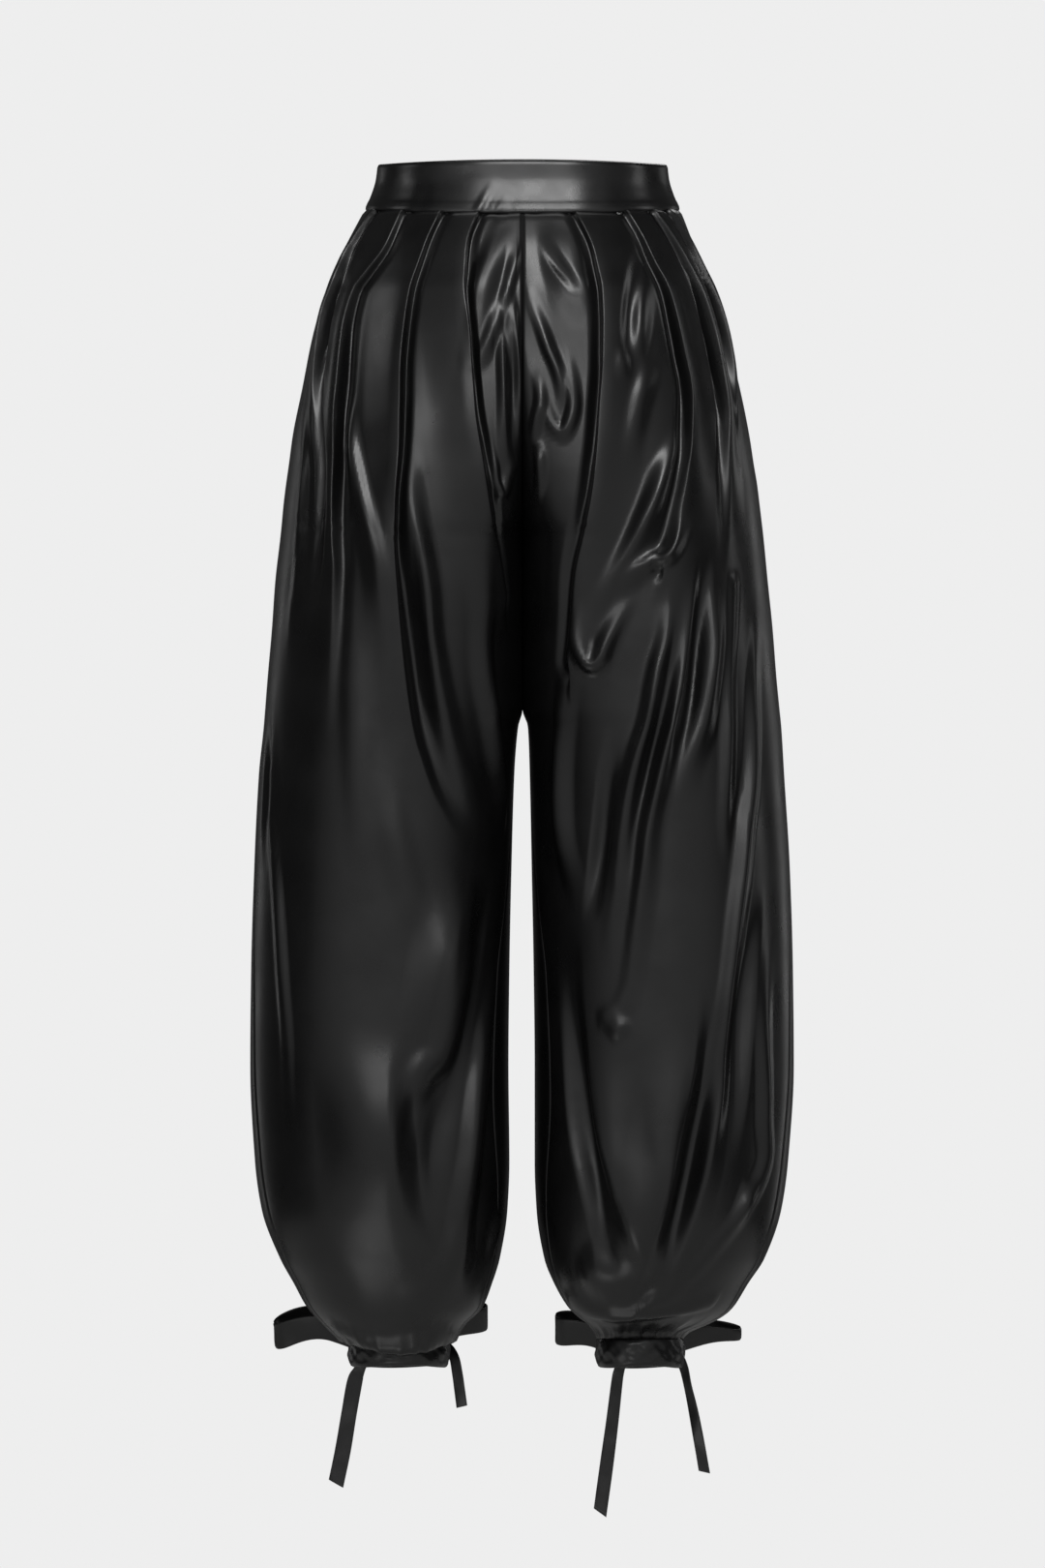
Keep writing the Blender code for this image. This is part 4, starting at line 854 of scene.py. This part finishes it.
# %% Gathers and seams
GATHERS = 17                # over one panel's hem
GATHER_HEIGHT = 2.3
GATHER_REACH = (18.0, 52.0) # the shortest and the longest, up from the band
GATHER_FADE = 5.0           # they die out this far above the hem's edge,
HEM_FADE = 12.0             # and the folds this far
GOLDEN = 0.618034
SEAM_FADE = 6.0             # folds die out this far from a seam
SEAM_DIP = 0.9              # each seam lies in a small valley
SEAM_DIP_WIDTH = 3.0
TUCK = 1.4                  # the panels' top goes in under the waistband
TUCK_HEIGHT = 5.0


def gathers(share, to_hem):
    """Sum over k of a narrow bump at share k, which grows to the hem over its own reach."""
    total = np.zeros(share.shape)
    for k in range(GATHERS):
        luck = (k * GOLDEN) % 1.0
        middle = (k + 0.5 + 0.5 * (luck - 0.5)) / GATHERS
        reach = GATHER_REACH[0] + (GATHER_REACH[1] - GATHER_REACH[0]) * ((luck * 3.7) % 1.0)
        width = (0.35 + 0.2 * luck) / GATHERS
        bump = np.exp(-((share - middle) / width) ** 2)
        total += bump * ease(1 - to_hem / reach) * (0.6 + 0.6 * luck)
    return GATHER_HEIGHT * (total - 0.7 * ease(1 - to_hem / GATHER_REACH[0]))


print("gathers across a hem, lift in mm:", gathers(np.linspace(0.1, 0.9, 5), np.zeros(5)).round(1))

# %% Both sides of a panel
NORMAL_STEP = 1.0           # the form's direction is measured between arcs this far each way
SEAT_REACH = 12.0           # this near the centre seam of the seat, lifts go straight to the front or back
SEAT_END = 305.0
PANEL_WALL = 1.1


def faces_turned(side, panel):
    """True where the grid's own direction would point the faces inwards."""
    return (side == "left") != (panel == "back")


def panel_grids(side, panel):
    """Outer = form(arc + shift) + normal * lift; inner = form(arc) + normal * (lift - wall)."""
    table = leg_rows(side)
    leg = Leg(side, np.linspace(table[0].run, table[-1].run, PANEL_ROWS))
    folds = FOLDS[side, panel]
    arcs = panel_arcs(leg, panel, folds)
    runs = np.repeat(leg.runs[:, None], arcs.shape[1], axis=1)
    start, end = leg.ends(panel)
    shapes = [fold_shape(fold, leg, panel, arcs, runs) for fold in folds]
    to_seam = np.minimum(arcs - start[:, None], end[:, None] - arcs)
    fade = ease(to_seam / SEAM_FADE)
    to_hem = leg.runs[-1] - runs
    lift = sum(shape[0] for shape in shapes) * fade * ease(to_hem / HEM_FADE)
    shift = sum(shape[1] for shape in shapes) * fade
    share = (arcs - start[:, None]) / (end - start)[:, None]
    lift += gathers(share, to_hem) * ease(to_hem / GATHER_FADE)
    lift -= SEAM_DIP * (1 - ease(to_seam / SEAM_DIP_WIDTH))
    lift -= TUCK * (1 - ease((runs - TOP_RUN) / TUCK_HEIGHT))
    across = leg.points(panel, arcs + NORMAL_STEP) - leg.points(panel, arcs - NORMAL_STEP)
    under = leg.points(panel, arcs)
    normal = np.cross(across, np.gradient(under, axis=0))
    if faces_turned(side, panel):
        normal = -normal
    normal /= np.linalg.norm(normal, axis=-1, keepdims=True)
    seat = (1 - ease((end[:, None] - arcs) / SEAT_REACH)) * (1 - ease((runs - SEAT_END) / SEAT_REACH))
    straight = np.array([0.0, -1.0 if panel == "front" else 1.0, 0.0])
    normal += seat[..., None] * (straight - normal)
    normal /= np.linalg.norm(normal, axis=-1, keepdims=True)
    outer = leg.points(panel, arcs + shift) + normal * lift[..., None] * MM
    inner = under + normal * (lift - PANEL_WALL)[..., None] * MM
    return outer, inner


# %% [markdown]
# ## Walls
# Each cloth piece is a closed wall. Its grid of points goes over the outside, round the lower edge, back
# up the inside and round the upper edge, so one wrapped grid makes the whole skin and its edges are
# rounded instead of cut.

# %% One wrapped grid to a mesh
def quads(index):
    """The four corners of each cell of a grid of point numbers, one row a cell."""
    corners = [index[:-1, :-1], index[:-1, 1:], index[1:, 1:], index[1:, :-1]]
    return np.stack(corners, axis=-1).reshape(-1, 4)


def finished(name, points, polygons, finish):
    """A smooth-shaded piece, in one of the leathers, with its place in its mesh."""
    mesh = bpy.data.meshes.new(name)
    mesh.from_pydata(points.reshape(-1, 3).tolist(), [], polygons)
    mesh.materials.append(LEATHER[finish])
    mesh.shade_smooth()
    piece = bpy.data.objects.new(name, mesh)
    bpy.context.scene.collection.objects.link(piece)
    return piece


def wrapped_rows(outer, inner, swell=0.5):
    """Rows of the outside, one row pushed out past the lower edge, the inside, one past the upper edge."""
    half = 0.5 * np.linalg.norm(outer - inner, axis=-1, keepdims=True)[[0, -1]]
    up = outer[0] - outer[1]
    down = outer[-1] - outer[-2]
    up = up / np.linalg.norm(up, axis=-1, keepdims=True)
    down = down / np.linalg.norm(down, axis=-1, keepdims=True)
    low = (outer[-1] + inner[-1]) / 2 + down * half[1] * swell
    top = (outer[0] + inner[0]) / 2 + up * half[0] * swell
    return np.concatenate([outer, low[None], inner[::-1], top[None]])


def skin(name, rows, closed, finish, flip):
    """Faces between neighbouring grid points; rows wrap round, columns too if closed, else two caps."""
    count, columns = rows.shape[:2]
    index = np.arange(count * columns).reshape(count, columns)
    index = np.vstack([index, index[:1]])
    if closed:
        index = np.hstack([index, index[:, :1]])
    polygons = quads(index).tolist()
    if not closed:
        n = (count - 2) // 2
        i = np.arange(n - 1)
        for column, turned in ((0, False), (columns - 1, True)):
            edge = index[:, column]
            cap = np.stack([edge[i], edge[i + 1], edge[2 * n - i - 1], edge[2 * n - i]], axis=-1).tolist()
            cap += [[int(edge[n - 1]), int(edge[n]), int(edge[n + 1])],
                    [int(edge[2 * n]), int(edge[2 * n + 1]), int(edge[0])]]
            polygons += [polygon[::-1] for polygon in cap] if turned else cap
    if flip:
        polygons = [polygon[::-1] for polygon in polygons]
    return finished(name, rows, polygons, finish)


# %% The two fronts and the two backs
PANELS = {}
for side in ("left", "right"):
    for panel in ("front", "back"):
        outer, inner = panel_grids(side, panel)
        name = f"{panel}_{side}"
        cloth = skin(f"cloth_{name}", wrapped_rows(outer, inner), False, "legs",
                     faces_turned(side, panel))
        PANELS[name] = cloth
        print(cloth.name, outer.shape[:2], "grid")

# %% [markdown]
# ## Waistband
# A plain band 42 mm deep, wider at its lower edge, with its two ends meeting at the centre back. Its
# edges are folded, so they are round, and the seam allowance inside prints a faint line through the film
# a little above the lower edge. A few soft creases lie left of the centre.

# %% Waistband
BandRow = namedtuple("BandRow", "middle side half_width half_depth apex")
WAISTBAND_ROWS = [
    BandRow(0.0, 4.2, 124.6, 90, 24),
    BandRow(15.0, 17.0, 126.2, 91.5, 24),
    BandRow(29.0, 29.0, 129.8, 95, 25),
    BandRow(44.2, 41.9, 135.4, 100, 25),
]
BAND_WALL = 2.0
BAND_SWELL = 0.9            # how far a folded edge bulges past its wall, in half thicknesses
BAND_COLUMNS = 90           # along each quarter
BAND_LINES = 34
FRONT_STEPS = 12            # across the flat middle, on each side
ALLOWANCE_AT = 0.80         # the seam allowance's print, as a share of the band's depth
ALLOWANCE_WIDTH = 0.035
ALLOWANCE_STEP = 0.25
EDGE_ROUND = 0.06           # the band's edges roll in over this share of its depth
EDGE_ROLL = 0.7
BandCrease = namedtuple("BandCrease", "width height line")
BAND_CREASES = [
    BandCrease(5.0, 0.9, [(-40, 46), (-34, 34), (-26, 20), (-20, 10)]),
    BandCrease(3.0, -0.6, [(-33, 45), (-28, 34), (-22, 26)]),
    BandCrease(3.0, 0.6, [(-22, 45), (-18, 36), (-13, 28)]),
    BandCrease(6.0, -0.3, [(-12, 45), (-9, 36), (-4, 26)]),
    BandCrease(16.0, 0.3, [(48, 46), (54, 26), (58, 6)]),
    BandCrease(10.0, -0.6, [(-90, 46), (-84, 26), (-80, 4)]),
]


def band_ring(row):
    """x, y, depth and arc of the ring: half oval from the centre back over the side to the centre front."""
    t = np.linspace(0, math.pi / 2, BAND_COLUMNS)
    quarter_x = row.apex + (row.half_width - row.apex) * np.cos(t) ** (2 / FRONT_CURVE)
    quarter_y = row.half_depth * np.sin(t) ** (2 / FRONT_CURVE)
    flat = np.linspace(row.apex, CLEFT, FRONT_STEPS)[1:]
    x = np.concatenate([flat[::-1], quarter_x[::-1], quarter_x[1:], flat[:-1], [0.0]])
    y = np.concatenate([np.full(len(flat), row.half_depth), quarter_y[::-1], -quarter_y[1:],
                        np.full(len(flat), -row.half_depth)])
    depth = row.middle + (row.side - row.middle) * (x / row.half_width) ** 2
    x = np.concatenate([x, -x[-2::-1]])
    return x, np.concatenate([y, y[-2::-1]]), np.concatenate([depth, depth[-2::-1]])


def outward(points, flip):
    """Unit normals of a grid of points, from its two directions."""
    normal = np.cross(np.gradient(points, axis=1), np.gradient(points, axis=0))
    normal /= np.linalg.norm(normal, axis=-1, keepdims=True)
    return -normal if flip else normal


def band_grids():
    """Outer = ring + normal * (creases + allowance step - rolled edges); inner = the same less the wall."""
    v = np.linspace(0, 1, BAND_LINES)
    middles = [row.middle for row in WAISTBAND_ROWS]
    fine = [smooth(middles, [getattr(row, name) for row in WAISTBAND_ROWS], v * middles[-1])
            for name in BandRow._fields]
    rings = [band_ring(BandRow(*values)) for values in zip(*fine)]
    x, y, depth = (np.array([ring[k] for ring in rings]) for k in range(3))
    lift = np.zeros(x.shape)
    for crease in BAND_CREASES:
        signed, share = along_line(x, depth, curve_through(crease.line, LINE_STEPS))
        bump = crease.height * (1 - ease(np.abs(signed) / crease.width)) * ease(share / 0.1 + 0.3)
        lift += np.where(y < 0, bump * (1 - ease(share)), 0.0)
    down = v[:, None]
    lift -= ALLOWANCE_STEP * (1 - ease((down - ALLOWANCE_AT) / ALLOWANCE_WIDTH))
    lift -= EDGE_ROLL * (1 - ease(np.minimum(down, 1 - down) / EDGE_ROUND))
    base = place(x, y, depth)
    normal = outward(base, False)
    return base + normal * lift[..., None] * MM, base + normal * (lift - BAND_WALL)[..., None] * MM


outer, inner = band_grids()
waistband = skin("cloth_waistband", wrapped_rows(outer, inner, BAND_SWELL), False, "bands", False)
print("waistband, widths at its edges in mm:", np.ptp(outer[[0, -1], :, 0], axis=1).round(4) / MM)

# %% [markdown]
# ## Ankle bands
# A narrow band closes each hem. The gathered hem pushes it about, so its oval isn't quite even, and short
# level creases run round it.

# %% Ankle bands
Ankle = namedtuple("Ankle", "centre half_width half_depth top bottom")
ANKLES = {"left": Ankle(-106, 43.0, 46.0, 1012.0, 1034.0),
          "right": Ankle(101, 37.8, 42.0, 1011.0, 1034.5)}
ANKLE_COLUMNS = 240
ANKLE_LINES = 22
Wave = namedtuple("Wave", "count size phase slant")
ANKLE_WAVES = [Wave(3, 0.55, 0.4, 5.0), Wave(7, 0.50, 1.9, -7.0),
               Wave(13, 0.30, 4.1, 9.0), Wave(23, 0.15, 2.6, -12.0)]
ANKLE_BULGE = 1.2
ANKLE_TAPER = 1.0           # the band is pulled in by this much at its lower edge
EDGE_WAVE = 0.7             # millimetres that the band's edges wave up and down
EDGE_WAVE_COUNT = 3


def ankle_grids(side):
    """Oval ring with a bulge, and waves: sum of a * sin(n * angle + phase + slant * height)."""
    ankle = ANKLES[side]
    angle = np.linspace(0, 2 * math.pi, ANKLE_COLUMNS, endpoint=False)[None, :]
    v = np.linspace(0, 1, ANKLE_LINES)[:, None]
    lift = ANKLE_BULGE * np.sin(math.pi * v) - ANKLE_TAPER * v + 0.0 * angle
    for wave in ANKLE_WAVES:
        ripple = np.sin(wave.count * angle + wave.phase + wave.slant * v)
        lift = lift + wave.size * ripple * np.sin(math.pi * v)
    lift = lift - EDGE_ROLL * (1 - ease(np.minimum(v, 1 - v) / (2 * EDGE_ROUND)))
    depth = (ankle.top + (ankle.bottom - ankle.top) * v
             + EDGE_WAVE * np.sin(EDGE_WAVE_COUNT * angle + 0.6 + 2 * v))
    base = place(ankle.centre + ankle.half_width * np.cos(angle) + 0.0 * v,
                 ankle.half_depth * np.sin(angle) + 0.0 * v, depth)
    radial = np.stack([np.cos(angle) + 0.0 * v, np.sin(angle) + 0.0 * v, 0.0 * depth], axis=-1)
    return base + radial * lift[..., None] * MM, base + radial * (lift - BAND_WALL)[..., None] * MM


ANKLE_BANDS = {}
for side in ANKLES:
    outer, inner = ankle_grids(side)
    rows = wrapped_rows(outer, inner, BAND_SWELL)
    ANKLE_BANDS[side] = skin(f"cloth_ankle_band_{side}", rows, True, "bands", True)
    wide, deep = np.ptp(outer[..., 0]) / MM, np.ptp(outer[..., 2]) / MM
    print(f"ankle band {side}: {wide:.0f} mm wide, {deep:.0f} mm deep")

# %% [markdown]
# ## Ties
# The band's ends are tied in a bow behind each ankle. A tie is a flat tube of cloth: here a thin oval
# carried along a curve, turned as the ribbon turns. A loop goes out from the knot, round its tip and
# back, and a tail hangs to its slanted end.

# %% Tables of the ties
# A loop runs from the knot to its tip and back. Its plies part by gape, its
# ribbon is width wide, and arch lifts the middle of its length.
Loop = namedtuple("Loop", "root_x root_y root_depth tip_x tip_y tip_depth arch gape width tip_width")
LOOPS = {
    "left": {"outer": Loop(-127.5, 57.0, 1024, -212, 90, 1007, 18, 20, 23, 24),
             "inner": Loop(-103.5, 57.0, 1024, -30.5, 100, 992, 8, 15, 21, 24)},
    "right": {"inner": Loop(91.5, 53.0, 1025, 28.5, 84, 1002, 9, 18, 22, 27),
              "outer": Loop(112.5, 53.0, 1025, 187, 92, 1006, 9, 13, 20, 11)},
}
LoopShape = namedtuple("LoopShape", "reach part")
LOOP_SHAPE = [LoopShape(0.0, 0.25), LoopShape(0.12, 0.38), LoopShape(0.3, 0.72), LoopShape(0.52, 0.96),
              LoopShape(0.74, 1.0), LoopShape(0.9, 0.86), LoopShape(0.98, 0.5), LoopShape(1.0, 0.0)]
LOOP_LEAN = 27.0            # degrees that a loop's upper edge leans to the front
LOOP_ROOT_WIDTH = 13.0
LOOP_WIDEST = 0.4           # reach at which its ribbon has its full width
LOOP_SWEEP = 0.7            # under 1, a loop swings to the back first, then runs out
# A tail's ribbon faces the front; turn, in degrees, twists it about its line.
Ribbon = namedtuple("Ribbon", "x y depth turn width")
TAILS = {
    "left": {
        "outer": [
            Ribbon(-126, 49.5, 1028, 0, 6.5), Ribbon(-132, 49.5, 1029, 0, 7),
            Ribbon(-137, 49.5, 1032.5, 0, 8.5), Ribbon(-140.5, 50, 1038.5, 0, 10.5),
            Ribbon(-144, 50, 1048, 4, 13.5), Ribbon(-149, 51, 1076, 4, 13.5),
            Ribbon(-154, 52, 1106, 8, 14), Ribbon(-160, 52, 1135, 10, 14)],
        "inner": [
            Ribbon(-101, 50, 1031, 80, 8), Ribbon(-90, 50, 1026, 76, 9), Ribbon(-78, 48, 1020, 66, 10),
            Ribbon(-66, 44, 1018, 50, 10), Ribbon(-59, 40, 1026, 34, 10), Ribbon(-56, 39, 1040, 24, 10),
            Ribbon(-54, 40, 1054, 20, 10), Ribbon(-52, 41, 1069, 18, 10)],
    },
    "right": {
        "inner": [
            Ribbon(92.3, 49, 1028, 0, 7), Ribbon(88.3, 49, 1029, 0, 7.5), Ribbon(84.8, 49, 1033, 0, 8.5),
            Ribbon(82.6, 49, 1039, 2, 9.5), Ribbon(81, 50, 1048, 4, 10), Ribbon(77, 51, 1082, 8, 11),
            Ribbon(72, 50, 1120, 10, 12), Ribbon(66.5, 49, 1160, 12, 12)],
        "outer": [
            Ribbon(113, 49, 1032, 10, 8), Ribbon(124, 48, 1028, 20, 9), Ribbon(133, 46, 1027, 34, 10),
            Ribbon(138, 45, 1035, 44, 10.5), Ribbon(142, 45, 1052, 52, 10.5), Ribbon(147, 45, 1075, 36, 10),
            Ribbon(152, 45, 1102, 16, 9.5), Ribbon(156, 45, 1125, 8, 9.5)],
    },
}
Knot = namedtuple("Knot", "x y depth half_x half_y half_z")
KNOTS = {"left": Knot(-115.5, 56.6, 1025, 8.8, 6.6, 9.5), "right": Knot(102, 52.6, 1026, 8.0, 6.4, 9.5)}
RIBBON_WALL = 1.5
RIBBON_SIDES = 22           # points round a ribbon's oval
RIBBON_CORNER = 0.45        # under 1, the oval is squarer
LOOP_FINE = 12
TAIL_FINE = 14
END_RINGS = 8               # a tail's end is slanted over its last rings
CLOSING_SIZE = 0.1          # size of the small oval that closes each end
END_SLANT = {("left", "outer"): 0.3, ("left", "inner"): -0.15,
             ("right", "inner"): 0.5, ("right", "outer"): 0.4}
RIPPLE = 0.5                # millimetres that a ribbon's middle waves in and out
RIPPLE_LENGTH = 6.0


print("points along a loop:", 2 * len(curve_through(LOOP_SHAPE, LOOP_FINE)) - 1)


# %% A flat tube along a curve
def ribbon_tube(name, middle, width, turn, reference, slant=0.0):
    """Point = middle + across * width/2 * c^p + facing * wall/2 * s^p, with c, s the cosine and sine of
    an angle and p the corner power; its two ends are closed by a last, narrow oval."""
    tangent = np.gradient(middle, axis=0)
    tangent /= np.linalg.norm(tangent, axis=1, keepdims=True)
    across = reference - tangent * (tangent @ reference)[:, None]
    across /= np.linalg.norm(across, axis=1, keepdims=True)
    turn = np.radians(turn)[:, None]
    across = across * np.cos(turn) + np.cross(tangent, across) * np.sin(turn)
    facing = np.cross(tangent, across)
    angle = np.linspace(0, 2 * math.pi, RIBBON_SIDES, endpoint=False)
    c = np.sign(np.cos(angle)) * np.abs(np.cos(angle)) ** RIBBON_CORNER
    s = np.sign(np.sin(angle)) * np.abs(np.sin(angle)) ** RIBBON_CORNER
    length = np.concatenate([[0], np.cumsum(np.linalg.norm(np.diff(middle, axis=0), axis=1))]) / MM
    wave = RIPPLE * np.sin(length / RIPPLE_LENGTH)[:, None] * np.cos(1.5 * c)[None, :]
    wide = width[:, None] / 2 * c[None, :] * MM
    thick = (RIBBON_WALL / 2 * s[None, :] + wave) * MM
    rings = middle[:, None, :] + across[:, None, :] * wide[..., None] + facing[:, None, :] * thick[..., None]
    end = ease((np.arange(len(middle)) - len(middle) + END_RINGS) / (END_RINGS - 1))
    rings += (tangent[:, None, :] * (slant * end[:, None] * wide)[..., None])
    first = middle[:1, None, :] + (rings[:1] - middle[:1, None, :]) * CLOSING_SIZE
    last = middle[-1:, None, :] + (rings[-1:] - middle[-1:, None, :]) * CLOSING_SIZE
    rings = np.concatenate([first, rings, last])
    count, sides = rings.shape[:2]
    index = np.arange(count * sides).reshape(count, sides)
    index = np.hstack([index, index[:, :1]])
    polygons = quads(index).tolist()
    polygons += [index[0, :-1][::-1].tolist(), index[-1, :-1].tolist()]
    return finished(name, rings, polygons, "ties")


def loop_ribbon(name, loop):
    """Out along one ply, round the tip and back along the other.

    Place = root + (tip - root) * reach, lifted by the arch, with the plies gape / 2 each way.
    """
    shape = curve_through(LOOP_SHAPE, LOOP_FINE)
    reach = np.concatenate([shape[:, 0], shape[-2::-1, 0]])
    part = np.concatenate([-shape[:, 1], shape[-2::-1, 1]]) * loop.gape / 2
    lean = math.radians(LOOP_LEAN)
    x = loop.root_x + (loop.tip_x - loop.root_x) * reach
    swing = np.clip(reach, 0, None) ** LOOP_SWEEP
    y = loop.root_y + (loop.tip_y - loop.root_y) * swing + part * math.cos(lean)
    depth = (loop.root_depth + (loop.tip_depth - loop.root_depth) * reach
             - loop.arch * np.sin(math.pi * reach) - part * math.sin(lean))
    width = LOOP_ROOT_WIDTH + (loop.width - LOOP_ROOT_WIDTH) * ease(reach / LOOP_WIDEST)
    width = width + (loop.tip_width - loop.width) * ease((reach - LOOP_WIDEST) / (1 - LOOP_WIDEST))
    upright = np.array([0.0, -math.sin(lean), math.cos(lean)])
    return ribbon_tube(name, place(x, y, depth), width, np.zeros(len(x)), upright)


def tail_ribbon(name, line, slant):
    """A ribbon along a given line, whose width and turn are read from the same rows."""
    path = curve_through(line, TAIL_FINE)
    middle = place(path[:, 0], path[:, 1], path[:, 2])
    return ribbon_tube(name, middle, path[:, 4], path[:, 3], np.array([1.0, 0.0, 0.0]), slant)


# %% [markdown]
# A knot is a small oval ball with soft slanting folds, where the strip wraps round the two loops.

# %% Knots
KNOT_ROUND = 56
KNOT_ROWS = 30
KNOT_FOLDS = 0.09


def knot_ball(name, knot):
    """An oval, x = a sin v cos u and so on, with soft wrap folds: radius * (1 + f cos(3u + 5v) sin v)."""
    u = np.linspace(0, 2 * math.pi, KNOT_ROUND, endpoint=False)[None, :]
    v = np.linspace(0, math.pi, KNOT_ROWS)[:, None]
    swell = 1 + KNOT_FOLDS * np.cos(3 * u + 5 * v) * np.sin(v) ** 2
    centre = place(np.array(knot.x), np.array(knot.y), np.array(knot.depth))
    points = np.stack([knot.half_x * np.sin(v) * np.cos(u) * swell,
                       knot.half_y * np.sin(v) * np.sin(u) * swell,
                       knot.half_z * np.cos(v) * swell], axis=-1) * MM + centre
    body = points[1:-1].reshape(-1, 3)
    index = np.arange(len(body)).reshape(KNOT_ROWS - 2, KNOT_ROUND)
    index = np.hstack([index, index[:, :1]])
    top, bottom = len(body), len(body) + 1
    polygons = quads(index)[:, [0, 3, 2, 1]].tolist()
    polygons += [[top, int(a), int(b)] for a, b in zip(index[0, :-1], index[0, 1:])]
    polygons += [[bottom, int(b), int(a)] for a, b in zip(index[-1, :-1], index[-1, 1:])]
    return finished(name, np.vstack([body, points[0, :1], points[-1, :1]]), polygons, "ties")


TIES = {}
for side in ("left", "right"):
    TIES[f"bow_knot_{side}"] = knot_ball(f"cloth_bow_knot_{side}", KNOTS[side])
    for end, loop in LOOPS[side].items():
        node = f"bow_loop_{end}_{side}"
        TIES[node] = loop_ribbon(f"cloth_{node}", loop)
    for end, line in TAILS[side].items():
        node = f"bow_tail_{end}_{side}"
        TIES[node] = tail_ribbon(f"cloth_{node}", line, END_SLANT[side, end])
print("pieces of the two bows:", len(TIES))

# %% [markdown]
# ## What each piece stands for
# Every cloth piece rides on the body, in its leather, and stands for its solid, which is hidden. The
# area of each piece's cloth is printed beside that of the cut it was made to, whose size comes from the
# panels' measured lengths.

# %% Ride, replace and compare with the cuts
CLOTH = {**PANELS, "waistband": waistband, "ankle_band_left": ANKLE_BANDS["left"],
         "ankle_band_right": ANKLE_BANDS["right"], **TIES}
for node, piece in CLOTH.items():
    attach(piece, "root")
    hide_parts(node)


def cloth_area(piece):
    """Half the surface of a thin closed wall is the area of its cloth, in square metres."""
    return sum(polygon.area for polygon in piece.data.polygons) / 2


# flat: the cut's greatest width and length, in metres; area: that of its outline where it isn't a rectangle
Cut = namedtuple("Cut", "held flat area")
CUTS = {
    "front_left": Cut("gathered", (0.44, 1.04), 0.33), "front_right": Cut("gathered", (0.42, 1.04), 0.33),
    "back_left": Cut("gathered", (0.50, 1.05), 0.41), "back_right": Cut("gathered", (0.50, 1.05), 0.41),
    "waistband": Cut("folded", (0.78, 0.044), None),
    "ankle_band_left": Cut("folded", (0.285, 0.024), None),
    "ankle_band_right": Cut("folded", (0.255, 0.026), None),
    "bow_loop_outer_left": Cut("folded", (0.024, 0.20), None),
    "bow_loop_inner_left": Cut("folded", (0.024, 0.17), None),
    "bow_loop_inner_right": Cut("folded", (0.027, 0.145), None),
    "bow_loop_outer_right": Cut("folded", (0.020, 0.17), None),
    "bow_tail_outer_left": Cut("hung", (0.014, 0.125), None),
    "bow_tail_inner_left": Cut("hung", (0.0105, 0.105), None),
    "bow_tail_inner_right": Cut("hung", (0.012, 0.145), None),
    "bow_tail_outer_right": Cut("hung", (0.0105, 0.135), None),
}
for node, cut in CUTS.items():
    flat_area = cut.area or cut.flat[0] * cut.flat[1]
    print(node, "cloth", round(cloth_area(CLOTH[node]), 5), "m2 for a cut of", round(flat_area, 5), "m2")
